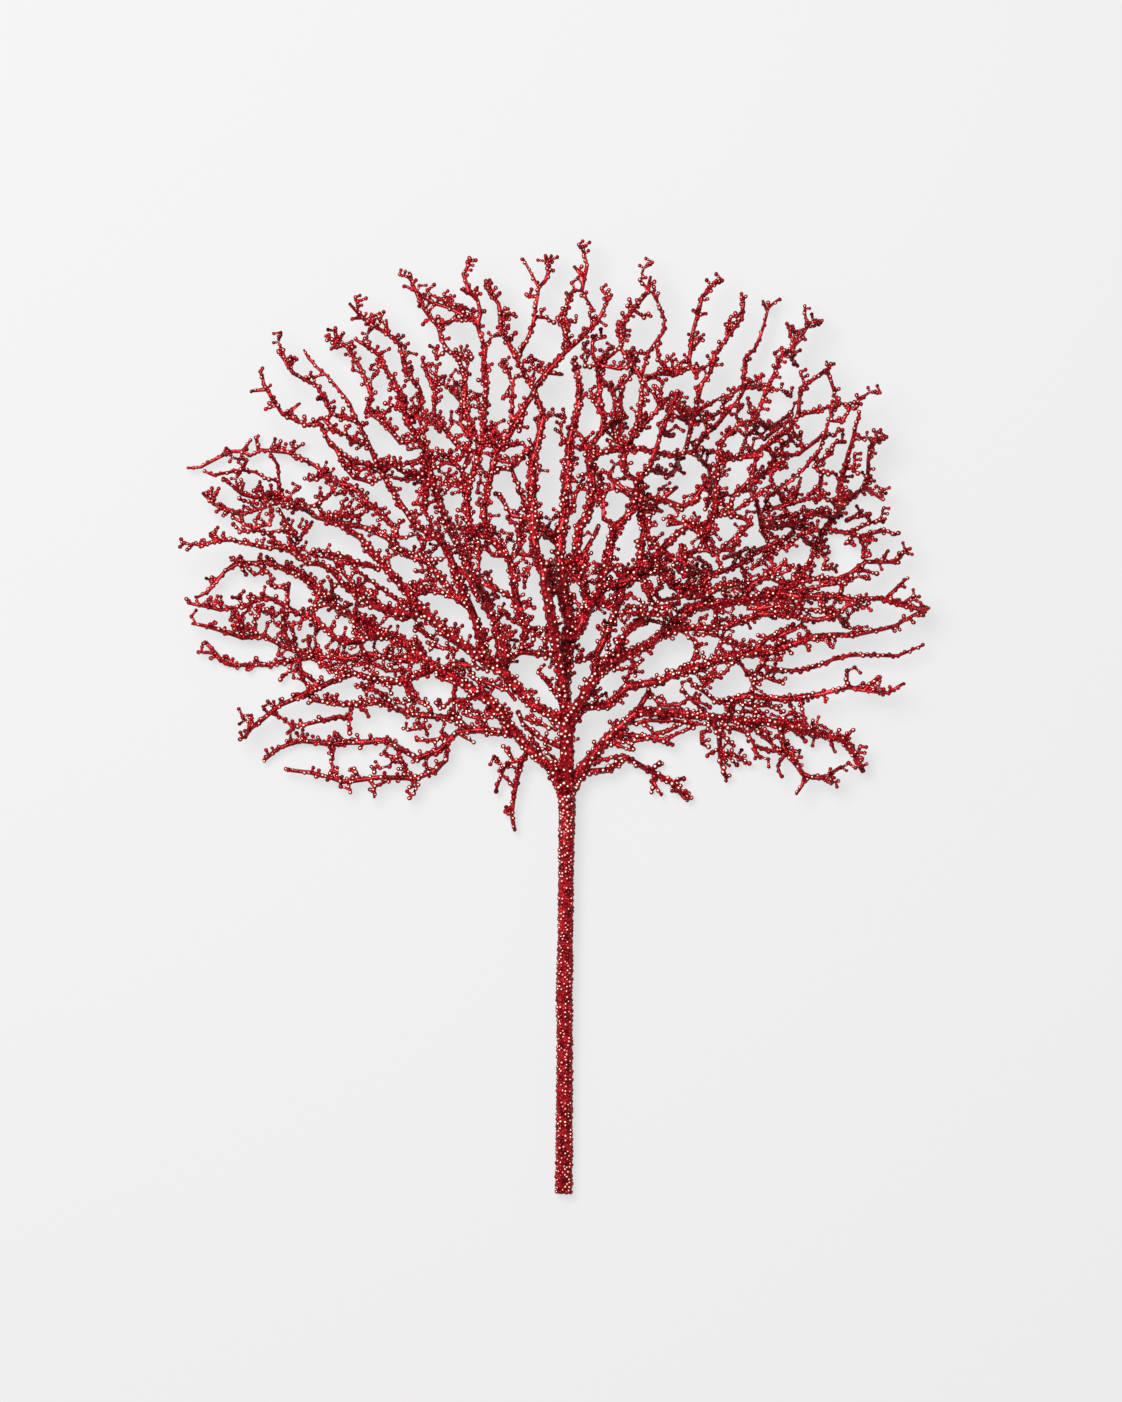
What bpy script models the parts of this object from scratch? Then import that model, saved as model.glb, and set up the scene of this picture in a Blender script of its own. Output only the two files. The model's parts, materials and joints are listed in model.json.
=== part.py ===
"""Red coral branch: a moulded, much-branched spray on one straight stem, lying on a table.

The spray is a shallow fan. Its routes are given in plan, in millimetres from the fork where the
stem opens out, with X to the right and Y up the fan. Heights come from how the branches lie over
and under each other. The finished part is in metres, with its origin under the middle of its box.
"""
import math

import bmesh
import bpy
import numpy as np

MM = 0.001

# Radii of the branches in millimetres, at the root and at the tip.
STEM = (4.7, 4.2)
TRUNK = (4.4, 4.0)
LIMB = (3.6, 2.5)
BOUGH = (3.0, 2.1)
BRANCH = (2.5, 1.8)
SPRIG = (2.1, 1.5)
TWIG = (1.7, 1.2)

GAP = 0.3                 # clear space between two pieces that meet or cross
CROSSING_MARGIN = 0.15    # added to the gap where branches pass over each other
ROOT_REACH = 11.0         # a branch may touch its carrier this near to its root
RISE_LENGTH = 30.0        # run over which a branch leaves its carrier's height for its own
TOP_HEIGHT = 50.0         # highest that a branch's middle may lie over the table
EASING_ROUNDS = 420
SMOOTHING = 0.16
SAMPLE_STEP = 1.6         # spacing of the places compared when branches are eased apart
STRAIGHTNESS = 1.2        # a waypoint nearer than this to the straight run is left out
SECTION_TURN = 0.17       # angle by which each side branch's section is turned from the last

CORAL_RED = (0.42, 0.006, 0.012, 1.0)
CORAL_ROUGHNESS = 0.28
CORAL_METALLIC = 0.25


# The pieces of the spray: name, piece it grows from, height of its middle, then its routes, each
# with its radii. The first route of a piece starts on the piece that carries it.
SPRAY = [
    ("stem", None, 13, [
        (STEM, [(-2, -246), (-1.5, -160), (-1, -80), (0, -6.6)]),
    ]),
    ("trunk", "stem", 19, [
        (TRUNK, [(0, -6), (-1, 25), (0, 45), (-2, 60), (0, 75), (2, 97)]),
        (SPRIG, [(-5, 23), (-14, 28), (-22, 33), (-27, 38), (-29, 45)]),
    ]),

    # Left, lower half.
    ("left_low_limb", "trunk", 12, [
        (LIMB, [(-3, 3), (-8, 9), (-15, 16), (-23, 22), (-30, 31), (-37, 41), (-45, 49), (-53, 55),
                (-62, 60), (-70, 67), (-79, 71), (-86, 77), (-94, 82), (-101, 88), (-110, 91),
                (-120, 97), (-130, 103), (-137, 106), (-145, 112), (-152, 119), (-160, 127),
                (-170, 130), (-180, 134), (-190, 134), (-198, 133), (-205, 129), (-210, 122),
                (-216, 116), (-224, 112)]),
        (TWIG, [(-196, 133), (-203, 138)]),
        (TWIG, [(-197, 132), (-192, 126)]),
        (TWIG, [(-210, 122), (-218, 125)]),
        (SPRIG, [(-53, 55), (-60, 51), (-68, 51), (-68, 43)]),
    ]),
    ("hanging_sprig", "left_low_limb", 6, [
        (SPRIG, [(-24, 20), (-28, 14), (-28, 8), (-30, 0), (-31, -8), (-33, -17), (-31, -28)]),
        (TWIG, [(-31, -12), (-37, -16)]),
        (SPRIG, [(-27, 16), (-36, 14), (-38, 8), (-39, 3), (-43, -4)]),
        (TWIG, [(-38, 6), (-31, -1)]),
        (TWIG, [(-32, 15), (-35, 22)]),
    ]),
    ("left_lowest_branch", "left_low_limb", 5, [
        (BRANCH, [(-30, 31), (-40, 32), (-50, 33), (-58, 33), (-66, 32), (-72, 25), (-77, 21),
                  (-83, 18), (-90, 16), (-96, 19), (-101, 22), (-107, 26), (-113, 27), (-120, 26),
                  (-130, 26), (-140, 25), (-150, 26), (-160, 27), (-168, 25), (-174, 22),
                  (-183, 14)]),
        (TWIG, [(-141, 24), (-141, 15)]),
    ]),
    ("left_third_branch", "left_lowest_branch", 14, [
        (BRANCH, [(-58, 34), (-66, 40), (-73, 41), (-85, 41), (-95, 43), (-103, 47), (-110, 49),
                  (-120, 50), (-130, 48), (-140, 50), (-150, 52), (-155, 52)]),
        (SPRIG, [(-130, 47), (-131, 40), (-137, 41), (-145, 39), (-155, 37), (-163, 36),
                 (-169, 31)]),
        (SPRIG, [(-131, 40), (-131, 31)]),
    ]),
    ("left_bottom_branch", "left_lowest_branch", 11, [
        (SPRIG, [(-72, 25), (-73, 15), (-78, 10), (-86, 6), (-92, 4), (-103, 5), (-110, 5),
                 (-120, 4), (-128, 2), (-135, 2), (-142, 5), (-147, 6), (-155, 8), (-162, 9),
                 (-169, 9)]),
    ]),
    ("left_second_limb", "trunk", 28, [
        (LIMB, [(-5, 37), (-15, 44), (-22, 50), (-28, 57), (-33, 62), (-38, 68), (-46, 73),
                (-55, 80), (-64, 85), (-72, 91), (-80, 99), (-90, 109), (-97, 118), (-104, 125),
                (-111, 133), (-118, 142), (-124, 149), (-131, 152), (-137, 157), (-145, 158)]),
        (SPRIG, [(-98, 108), (-105, 112), (-113, 118), (-120, 124), (-127, 130)]),
        (SPRIG, [(-113, 130), (-120, 133), (-128, 135), (-136, 138), (-144, 140), (-152, 141)]),
        (TWIG, [(-124, 127), (-128, 135)]),
    ]),
    ("left_wavy_branch", "left_low_limb", 20, [
        (BRANCH, [(-80, 69), (-88, 66), (-97, 63), (-107, 62), (-116, 64), (-128, 67), (-137, 64),
                  (-147, 60), (-155, 55), (-165, 52), (-172, 48), (-177, 44), (-184, 38),
                  (-190, 34), (-194, 28)]),
        (SPRIG, [(-98, 62), (-93, 52), (-84, 49), (-81, 45)]),
        (SPRIG, [(-148, 60), (-157, 66), (-163, 72)]),
        (TWIG, [(-177, 44), (-170, 40), (-164, 36)]),
        (TWIG, [(-189, 36), (-190, 43)]),
    ]),
    ("left_long_branch", "left_low_limb", 6, [
        (BRANCH, [(-86, 77), (-95, 75), (-105, 76), (-120, 79), (-130, 76), (-140, 77),
                  (-150, 78), (-165, 76), (-172, 74), (-180, 73), (-190, 73), (-200, 72),
                  (-206, 73), (-212, 79), (-218, 87)]),
        (TWIG, [(-212, 79), (-219, 80)]),
        (TWIG, [(-165, 76), (-167, 69), (-173, 64)]),
    ]),
    ("left_edge_branch", "left_long_branch", 14, [
        (BRANCH, [(-147, 77), (-158, 79), (-168, 82), (-176, 86), (-184, 90), (-195, 89),
                  (-205, 91), (-214, 94), (-226, 98)]),
        (TWIG, [(-215, 94), (-211, 99)]),
        (TWIG, [(-163, 81), (-163, 90), (-165, 97)]),
        (TWIG, [(-187, 90), (-187, 101)]),
    ]),
    ("left_upper_branch", "left_low_limb", 22, [
        (BRANCH, [(-105, 90), (-116, 90), (-124, 88), (-133, 86), (-140, 89), (-145, 93),
                  (-151, 100), (-163, 104), (-170, 108), (-177, 112), (-184, 112), (-192, 108),
                  (-200, 106), (-208, 105), (-216, 107), (-228, 110)]),
        (SPRIG, [(-168, 108), (-168, 115), (-166, 122)]),
    ]),

    # Left, upper half.
    ("left_mid_limb", "left_second_limb", 34, [
        (BOUGH, [(-44, 72), (-50, 80), (-53, 90), (-55, 100), (-61, 115), (-66, 125), (-69, 134),
                 (-71, 142), (-77, 148), (-84, 152), (-90, 155)]),
    ]),
    ("left_arching_branch", "left_mid_limb", 26, [
        (BRANCH, [(-90, 155), (-96, 163), (-102, 172), (-107, 180), (-110, 187), (-113, 195),
                  (-118, 203), (-122, 211), (-125, 218), (-133, 221), (-141, 223), (-144, 230),
                  (-147, 236), (-150, 240), (-157, 244), (-164, 247), (-168, 252), (-170, 257),
                  (-169, 263)]),
        (TWIG, [(-167, 252), (-163, 257)]),
        (TWIG, [(-156, 242), (-153, 248)]),
        (SPRIG, [(-124, 219), (-130, 229), (-136, 235), (-140, 241), (-144, 246), (-150, 251),
                 (-155, 256), (-158, 262)]),
    ]),
    ("left_inner_limb", "left_second_limb", 22, [
        (BOUGH, [(-38, 68), (-40, 75), (-41, 85), (-43, 100), (-49, 110), (-52, 120), (-57, 128),
                 (-61, 137), (-64, 144), (-68, 150), (-72, 158), (-75, 166), (-78, 174),
                 (-80, 183), (-83, 192), (-85, 202), (-92, 212), (-96, 218), (-99, 232),
                 (-105, 243), (-108, 250), (-112, 257), (-117, 262), (-122, 265), (-128, 268)]),
        (SPRIG, [(-84, 196), (-98, 193), (-104, 194)]),
    ]),
    ("left_crossing_branch", "left_mid_limb", 15, [
        (BRANCH, [(-57, 107), (-65, 112), (-72, 119), (-78, 126), (-84, 134), (-90, 137),
                  (-98, 139), (-103, 145), (-108, 149), (-117, 154), (-130, 157), (-140, 160),
                  (-150, 161), (-157, 165), (-168, 172), (-177, 168), (-186, 166), (-195, 163),
                  (-203, 165), (-212, 169), (-219, 176)]),
        (TWIG, [(-213, 169), (-211, 176)]),
    ]),
    ("left_middle_branch", "left_second_limb", 36, [
        (BRANCH, [(-84, 103), (-98, 103), (-108, 106), (-117, 108), (-124, 112), (-131, 118),
                  (-137, 125), (-141, 129), (-147, 132), (-155, 133), (-160, 136), (-165, 141),
                  (-170, 143), (-178, 142), (-186, 144), (-193, 146), (-200, 147), (-208, 147),
                  (-214, 145), (-221, 143)]),
        (TWIG, [(-209, 147), (-214, 152)]),
        (SPRIG, [(-165, 141), (-166, 150), (-168, 158), (-172, 166)]),
        (SPRIG, [(-171, 144), (-174, 147), (-180, 151), (-187, 153), (-195, 152), (-200, 158)]),
    ]),
    ("left_tip_sprigs", "left_crossing_branch", 26, [
        (SPRIG, [(-168, 174), (-178, 176), (-187, 173), (-195, 175), (-201, 179), (-206, 184)]),
        (TWIG, [(-195, 176), (-193, 182)]),
        (SPRIG, [(-172, 176), (-173, 184), (-173, 192), (-177, 199)]),
        (SPRIG, [(-173, 183), (-180, 184), (-187, 188), (-195, 189), (-203, 188), (-211, 186),
                 (-218, 189)]),
        (TWIG, [(-195, 190), (-191, 196)]),
    ]),
    ("left_arch", "left_crossing_branch", 6, [
        (BRANCH, [(-103, 146), (-103, 155), (-108, 161), (-115, 167), (-121, 170), (-124, 176),
                  (-130, 180), (-138, 182), (-147, 188), (-152, 193), (-160, 197), (-168, 200),
                  (-176, 201), (-184, 201), (-190, 198), (-196, 201), (-203, 201), (-209, 199),
                  (-215, 194), (-220, 192), (-229, 191)]),
        (TWIG, [(-185, 201), (-187, 209)]),
        (TWIG, [(-195, 201), (-190, 208)]),
        (TWIG, [(-168, 200), (-158, 206)]),
    ]),
    ("left_top_branch", "left_inner_limb", 40, [
        (BRANCH, [(-82, 187), (-90, 186), (-98, 188), (-105, 193), (-112, 191), (-120, 192),
                  (-128, 194), (-135, 199), (-141, 204), (-145, 211), (-148, 217), (-155, 216),
                  (-163, 218), (-170, 222), (-174, 228), (-178, 235), (-181, 241), (-182, 247)]),
        (TWIG, [(-180, 237), (-189, 236)]),
        (TWIG, [(-174, 227), (-181, 225)]),
        (TWIG, [(-169, 222), (-159, 229)]),
    ]),
    ("left_top_sprig", "left_inner_limb", 14, [
        (SPRIG, [(-89, 208), (-100, 206), (-106, 212), (-110, 218), (-120, 226), (-117, 234),
                 (-120, 242), (-123, 250), (-128, 258), (-132, 264), (-138, 267), (-145, 271)]),
        (TWIG, [(-133, 264), (-142, 263)]),
        (TWIG, [(-138, 267), (-134, 273)]),
    ]),
    ("upper_left_branch", "left_inner_limb", 30, [
        (SPRIG, [(-95, 217), (-90, 224), (-87, 230), (-88, 238), (-92, 243), (-97, 250),
                 (-99, 257), (-100, 264), (-106, 270), (-112, 273), (-118, 277), (-123, 283),
                 (-130, 289)]),
        (TWIG, [(-107, 270), (-108, 280)]),
        (TWIG, [(-121, 281), (-129, 280)]),
    ]),

    # Top left and centre.
    ("centre_left_limb", "trunk", 26, [
        (LIMB, [(-4, 50), (-5, 65), (-8, 78), (-10, 90), (-11, 100), (-12, 110), (-13, 120),
                (-14, 128), (-18, 137), (-19, 146), (-19, 154), (-20, 165), (-21, 182),
                (-20, 195), (-18, 205), (-16, 213), (-14, 221), (-17, 229), (-20, 238)]),
        (TWIG, [(-18, 137), (-28, 139), (-34, 137)]),
        (SPRIG, [(-20, 160), (-27, 160), (-33, 162), (-38, 168), (-42, 176)]),
        (SPRIG, [(-23, 160), (-27, 175), (-31, 181), (-33, 190), (-35, 197)]),
        (TWIG, [(-26, 160), (-27, 150)]),
    ]),
    ("leaning_bough", "centre_left_limb", 36, [
        (BOUGH, [(-9, 78), (-18, 79), (-27, 80), (-24, 95), (-28, 102), (-31, 117), (-33, 128),
                 (-34, 136), (-40, 143), (-46, 148), (-58, 152), (-66, 155)]),
        (SPRIG, [(-27, 80), (-35, 77), (-41, 78)]),
        (SPRIG, [(-30, 112), (-42, 118), (-50, 121)]),
    ]),
    ("upper_left_limb", "leaning_bough", 40, [
        (BRANCH, [(-58, 152), (-59, 165), (-60, 175), (-57, 184), (-55, 192), (-52, 200),
                  (-50, 206), (-49, 225), (-49, 235), (-48, 243), (-50, 252), (-49, 260),
                  (-51, 268), (-53, 275), (-51, 283), (-53, 290), (-57, 294), (-60, 300),
                  (-62, 306), (-58, 312)]),
        (TWIG, [(-57, 293), (-64, 297)]),
        (TWIG, [(-54, 291), (-53, 299)]),
        (SPRIG, [(-52, 276), (-60, 282), (-66, 287), (-74, 291), (-82, 294)]),
    ]),
    ("upper_left_fork", "upper_left_limb", 30, [
        (SPRIG, [(-51, 204), (-58, 212), (-58, 219), (-62, 227), (-60, 238), (-61, 245),
                 (-65, 257), (-71, 261), (-75, 267), (-76, 273), (-80, 280), (-86, 287),
                 (-90, 294), (-94, 304)]),
        (TWIG, [(-81, 280), (-87, 277)]),
        (TWIG, [(-91, 296), (-98, 300)]),
        (TWIG, [(-71, 262), (-78, 256)]),
        (TWIG, [(-65, 257), (-56, 256)]),
    ]),
    ("upper_left_sprig", "upper_left_limb", 20, [
        (SPRIG, [(-53, 199), (-65, 203), (-70, 208), (-73, 215), (-79, 222), (-79, 237),
                 (-82, 246), (-87, 257)]),
        (TWIG, [(-80, 240), (-74, 241)]),
        (SPRIG, [(-58, 201), (-62, 190), (-65, 180), (-72, 183)]),
    ]),
    ("centre_inner_bough", "leaning_bough", 30, [
        (BRANCH, [(-46, 148), (-50, 162), (-48, 172), (-47, 181), (-45, 190), (-43, 198),
                  (-39, 204), (-33, 212), (-27, 223), (-22, 233), (-17, 241), (-10, 250),
                  (-3, 258), (4, 265), (12, 272), (18, 277), (21, 283), (26, 295)]),
        (TWIG, [(-12, 248), (-2, 246)]),
        (SPRIG, [(-45, 190), (-35, 190), (-25, 196)]),
        (SPRIG, [(-38, 206), (-33, 216), (-32, 235), (-32, 243), (-27, 247)]),
        (SPRIG, [(-41, 203), (-33, 204), (-26, 205)]),
    ]),
    ("top_left_branch", "centre_left_limb", 20, [
        (BRANCH, [(-20, 238), (-25, 246), (-28, 254), (-33, 262), (-37, 268), (-40, 275),
                  (-41, 282), (-41, 289), (-45, 296), (-50, 301)]),
        (TWIG, [(-41, 285), (-35, 281)]),
        (TWIG, [(-36, 268), (-30, 272)]),
        (SPRIG, [(-28, 256), (-25, 262), (-22, 269), (-20, 276), (-19, 283), (-18, 291),
                 (-17, 299), (-21, 307), (-26, 317)]),
        (SPRIG, [(-17, 298), (-12, 304), (-10, 310), (-13, 318)]),
        (TWIG, [(-18, 294), (-25, 294)]),
        (TWIG, [(-19, 281), (-12, 281), (-6, 277)]),
    ]),
    ("top_centre_branch", "centre_inner_bough", 22, [
        (SPRIG, [(2, 263), (-1, 270), (-3, 277), (-2, 285), (1, 292), (4, 297), (9, 297),
                 (11, 305), (12, 312), (9, 322)]),
        (TWIG, [(10, 304), (4, 312)]),
        (TWIG, [(-3, 278), (6, 278)]),
        (TWIG, [(9, 297), (13, 289), (16, 285)]),
    ]),
    ("centre_limb", "trunk", 14, [
        (LIMB, [(1, 98), (0, 105), (-2, 115), (-3, 125), (-4, 135), (-4, 145), (-4, 153),
                (0, 163), (-1, 172), (1, 185), (1, 192), (2, 202), (3, 211), (6, 220), (8, 230),
                (8, 240), (6, 250), (4, 258)]),
        (TWIG, [(1, 185), (-4, 184)]),
        (TWIG, [(1, 206), (-4, 206)]),
        (TWIG, [(-5, 146), (-13, 151)]),
        (SPRIG, [(0, 164), (5, 168), (4, 175), (10, 181)]),
        (SPRIG, [(-3, 126), (3, 132), (6, 138)]),
    ]),
    ("right_centre_limb", "trunk", 24, [
        (LIMB, [(2, 84), (9, 96), (13, 108), (11, 122), (9, 130), (6, 140), (7, 152),
                (9, 158), (13, 162), (15, 175), (14, 183), (13, 190), (13, 203)]),
        (SPRIG, [(10, 131), (12, 142), (15, 147), (19, 155)]),
        (TWIG, [(13, 187), (6, 186)]),
        (SPRIG, [(13, 200), (9, 210), (5, 214)]),
        (TWIG, [(12, 202), (6, 203)]),
        (SPRIG, [(14, 201), (18, 209), (21, 213), (22, 222), (21, 232), (19, 242), (18, 252),
                 (15, 260), (16, 270)]),
        (TWIG, [(22, 221), (15, 233), (10, 235)]),
    ]),

    # Right, lower half.
    ("right_low_limb", "trunk", 10, [
        (LIMB, [(3, -1), (10, 7), (17, 18), (24, 28), (33, 37), (42, 44), (52, 44), (64, 44),
                (76, 43), (88, 42), (100, 39), (110, 38), (120, 39), (130, 38), (138, 35),
                (146, 32), (156, 30), (166, 28), (173, 19), (179, 7)]),
        (TWIG, [(167, 27), (173, 34)]),
        (TWIG, [(158, 30), (162, 20)]),
        (TWIG, [(147, 32), (148, 40)]),
        (TWIG, [(136, 36), (144, 26)]),
        (SPRIG, [(42, 44), (47, 51), (50, 58)]),
        (SPRIG, [(26, 29), (35, 31), (45, 30), (55, 28), (63, 29), (70, 33), (78, 36)]),
        (SPRIG, [(37, 31), (39, 22)]),
    ]),
    ("right_bottom_branch", "right_low_limb", 5, [
        (BRANCH, [(9, 5), (16, 7), (23, 9), (30, 14), (36, 16), (42, 12), (49, 8), (57, 4),
                  (64, 1), (70, -4), (74, -9)]),
        (TWIG, [(64, 1), (72, 5)]),
        (TWIG, [(50, 8), (57, 15)]),
        (TWIG, [(53, 5), (51, -5)]),
    ]),
    ("right_drooping_sprig", "right_low_limb", 5, [
        (SPRIG, [(86, 42), (92, 32), (93, 24), (93, 14), (96, 4)]),
        (TWIG, [(94, 20), (102, 18), (110, 13)]),
        (TWIG, [(92, 22), (84, 18)]),
    ]),
    ("right_low_fork", "right_low_limb", 16, [
        (SPRIG, [(128, 38), (130, 30), (131, 22), (136, 15), (142, 7), (148, 4), (155, 4),
                 (165, 11)]),
        (TWIG, [(143, 6), (142, 0), (138, -6)]),
        (SPRIG, [(131, 20), (120, 21), (113, 24), (109, 31)]),
        (TWIG, [(132, 19), (127, 12), (129, 5)]),
    ]),
    ("right_second_limb", "trunk", 28, [
        (LIMB, [(4, 36), (9, 45), (12, 54), (16, 63), (22, 70), (30, 76), (40, 80), (50, 85),
                (58, 92), (64, 98), (70, 103), (76, 107), (84, 108), (92, 109), (100, 111),
                (110, 112), (120, 113), (130, 115), (140, 113), (150, 113), (160, 114),
                (170, 112), (180, 112), (188, 112), (196, 109), (203, 107), (213, 105),
                (219, 107)]),
        (TWIG, [(190, 111), (197, 119), (205, 125)]),
        (TWIG, [(200, 108), (208, 114)]),
        (TWIG, [(96, 111), (95, 115), (93, 119)]),
        (SPRIG, [(164, 113), (166, 120), (172, 127)]),
    ]),
    ("right_third_limb", "right_second_limb", 20, [
        (BOUGH, [(9, 44), (17, 45), (25, 48), (30, 54), (37, 60), (48, 60), (56, 62), (64, 67),
                 (73, 70), (83, 72), (92, 76), (100, 79), (108, 80), (120, 79), (130, 82),
                 (140, 86), (150, 90), (160, 91), (170, 90), (180, 92), (190, 94), (198, 96),
                 (205, 100), (212, 104)]),
        (SPRIG, [(110, 80), (120, 88), (130, 93), (137, 97)]),
        (TWIG, [(73, 70), (76, 79), (79, 84)]),
    ]),
    ("right_link_branch", "right_second_limb", 36, [
        (BRANCH, [(55, 89), (62, 92), (70, 95), (78, 94), (86, 94), (95, 95), (102, 97),
                  (107, 101), (115, 103), (122, 102), (130, 103), (137, 102), (143, 100),
                  (150, 99), (160, 101), (165, 106), (172, 111)]),
        (SPRIG, [(88, 94), (90, 100), (89, 106)]),
    ]),
    ("right_low_branch", "right_low_limb", 24, [
        (BRANCH, [(98, 40), (101, 52), (110, 54), (120, 52), (130, 52), (140, 53), (150, 54),
                  (160, 57), (170, 59), (180, 57), (193, 55), (203, 62)]),
        (TWIG, [(178, 58), (187, 66)]),
        (TWIG, [(168, 59), (169, 69)]),
        (SPRIG, [(140, 53), (142, 45), (143, 37)]),
        (SPRIG, [(100, 52), (90, 50), (80, 58), (73, 64)]),
    ]),
    ("right_edge_branch", "right_third_limb", 12, [
        (SPRIG, [(121, 79), (118, 73), (122, 70), (130, 70), (140, 69), (150, 71), (160, 76),
                 (170, 78), (180, 78), (190, 77), (200, 78), (207, 80), (215, 84)]),
        (SPRIG, [(118, 73), (112, 66), (111, 58), (112, 48)]),
    ]),
    ("right_rising_branch", "right_second_limb", 14, [
        (BRANCH, [(17, 64), (18, 78), (22, 88), (25, 95), (28, 100), (31, 108), (32, 117),
                  (34, 124), (38, 128), (45, 127), (50, 130), (56, 133), (60, 128), (65, 121),
                  (70, 118), (75, 119), (82, 120), (86, 126), (92, 128), (98, 131), (105, 133),
                  (110, 137), (115, 141), (122, 143), (128, 146), (133, 150), (137, 151)]),
        (SPRIG, [(17, 78), (10, 77), (5, 75)]),
        (TWIG, [(84, 125), (77, 128)]),
        (SPRIG, [(105, 133), (107, 127), (110, 120)]),
    ]),
    ("right_crossing_branch", "right_second_limb", 40, [
        (BRANCH, [(30, 76), (33, 88), (40, 95), (48, 101), (54, 106), (60, 108), (68, 109)]),
        (SPRIG, [(54, 106), (50, 112), (46, 118), (47, 124)]),
        (SPRIG, [(47, 101), (38, 104), (33, 103)]),
    ]),

    # Right, upper half.
    ("right_mid_branch", "right_second_limb", 20, [
        (BRANCH, [(108, 112), (110, 120), (115, 122), (121, 126), (128, 122), (135, 121),
                  (140, 123), (147, 124), (153, 124), (162, 124), (170, 127), (176, 131),
                  (180, 134), (188, 134), (195, 134), (200, 137), (204, 143)]),
        (TWIG, [(190, 134), (193, 141)]),
        (TWIG, [(174, 129), (187, 127)]),
        (SPRIG, [(122, 126), (128, 130), (131, 134)]),
    ]),
    ("right_far_branch", "right_mid_branch", 28, [
        (BRANCH, [(135, 121), (138, 127), (145, 132), (148, 137), (150, 143), (152, 148),
                  (155, 155), (160, 160), (165, 167), (172, 173), (178, 178), (181, 186),
                  (182, 195), (182, 203), (187, 210)]),
        (TWIG, [(179, 180), (190, 171)]),
        (TWIG, [(168, 170), (166, 179), (161, 187)]),
        (SPRIG, [(155, 155), (162, 153), (170, 152), (176, 149), (179, 142), (178, 136)]),
        (SPRIG, [(176, 149), (183, 150), (190, 153), (197, 151)]),
        (TWIG, [(170, 152), (180, 156), (188, 160)]),
        (SPRIG, [(150, 143), (142, 147), (138, 151)]),
    ]),
    ("right_tip_sprigs", "right_far_branch", 36, [
        (SPRIG, [(160, 161), (153, 164), (148, 162), (143, 160), (137, 157), (129, 157),
                 (120, 157)]),
        (SPRIG, [(165, 168), (163, 178), (168, 195), (171, 205), (172, 213), (175, 221)]),
        (TWIG, [(172, 211), (179, 206)]),
        (TWIG, [(168, 192), (175, 187)]),
    ]),
    ("fan_bough", "right_centre_limb", 34, [
        (BOUGH, [(10, 101), (16, 110), (20, 117), (21, 125), (24, 130), (25, 137),
                 (25, 143), (27, 150), (30, 156), (37, 162), (41, 166), (40, 172), (42, 178),
                 (41, 183), (36, 186), (34, 190), (35, 196), (35, 201)]),
        (TWIG, [(24, 131), (19, 133), (17, 129)]),
        (SPRIG, [(29, 157), (22, 160), (21, 168), (22, 176)]),
        (SPRIG, [(22, 176), (28, 178), (28, 183), (35, 184)]),
        (TWIG, [(28, 182), (25, 187)]),
        (TWIG, [(28, 177), (34, 176), (39, 172)]),
        (SPRIG, [(42, 181), (45, 185), (49, 189), (50, 195), (53, 201), (56, 207), (58, 212),
                 (60, 220), (64, 228), (66, 236)]),
        (TWIG, [(49, 189), (57, 189)]),
        (TWIG, [(58, 211), (64, 210)]),
    ]),
    ("fan_inner_branch", "fan_bough", 28, [
        (BRANCH, [(20, 117), (30, 121), (38, 124), (43, 130), (44, 138), (45, 145), (46, 152),
                  (44, 160), (44, 166), (47, 172), (55, 172), (62, 169), (70, 167), (76, 171),
                  (80, 176), (83, 181), (81, 186)]),
        (SPRIG, [(57, 171), (62, 176), (66, 179)]),
        (TWIG, [(45, 148), (40, 146)]),
        (TWIG, [(62, 169), (67, 163), (64, 160), (57, 160)]),
        (SPRIG, [(47, 165), (53, 164)]),
    ]),
    ("fan_middle_branch", "right_rising_branch", 42, [
        (BRANCH, [(50, 130), (52, 137), (58, 141), (62, 147), (68, 152), (74, 156), (80, 155),
                  (86, 158), (89, 165), (89, 175), (89, 183), (90, 190), (90, 198), (91, 205),
                  (95, 210), (103, 216), (113, 218)]),
        (SPRIG, [(59, 140), (65, 135), (70, 136), (77, 141), (84, 141), (90, 138), (92, 130)]),
        (SPRIG, [(78, 141), (82, 148), (86, 156)]),
        (SPRIG, [(72, 136), (71, 126)]),
        (TWIG, [(90, 186), (95, 186)]),
    ]),
    ("fan_low_link", "fan_middle_branch", 34, [
        (SPRIG, [(89, 162), (95, 163), (100, 161), (106, 160), (110, 157), (106, 152),
                 (99, 148), (93, 142)]),
        (SPRIG, [(96, 163), (97, 168), (100, 173), (105, 178), (111, 184), (112, 190),
                 (113, 197)]),
        (TWIG, [(100, 173), (92, 176)]),
    ]),
    ("fan_right_branch", "right_rising_branch", 26, [
        (BRANCH, [(123, 144), (118, 152), (116, 164), (122, 166), (128, 167), (133, 169),
                  (139, 170), (144, 172), (149, 177), (152, 181), (153, 187), (148, 192)]),
        (TWIG, [(151, 180), (152, 171)]),
        (SPRIG, [(116, 164), (113, 174), (108, 179)]),
        (SPRIG, [(120, 166), (120, 173), (126, 178), (131, 182), (136, 185), (142, 189),
                 (147, 195), (151, 200), (153, 207), (156, 214), (159, 221), (160, 228)]),
        (TWIG, [(131, 169), (127, 176)]),
        (TWIG, [(136, 170), (139, 177), (141, 185)]),
        (SPRIG, [(154, 190), (160, 187)]),
    ]),
    ("cross_branch", "right_centre_limb", 10, [
        (BRANCH, [(14, 194), (18, 199), (22, 199), (27, 201), (33, 201), (38, 202), (43, 200),
                  (52, 199), (62, 198), (70, 198), (76, 200), (79, 206), (82, 210), (87, 213),
                  (94, 221), (102, 230), (106, 237), (107, 247), (107, 256), (113, 262),
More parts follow.
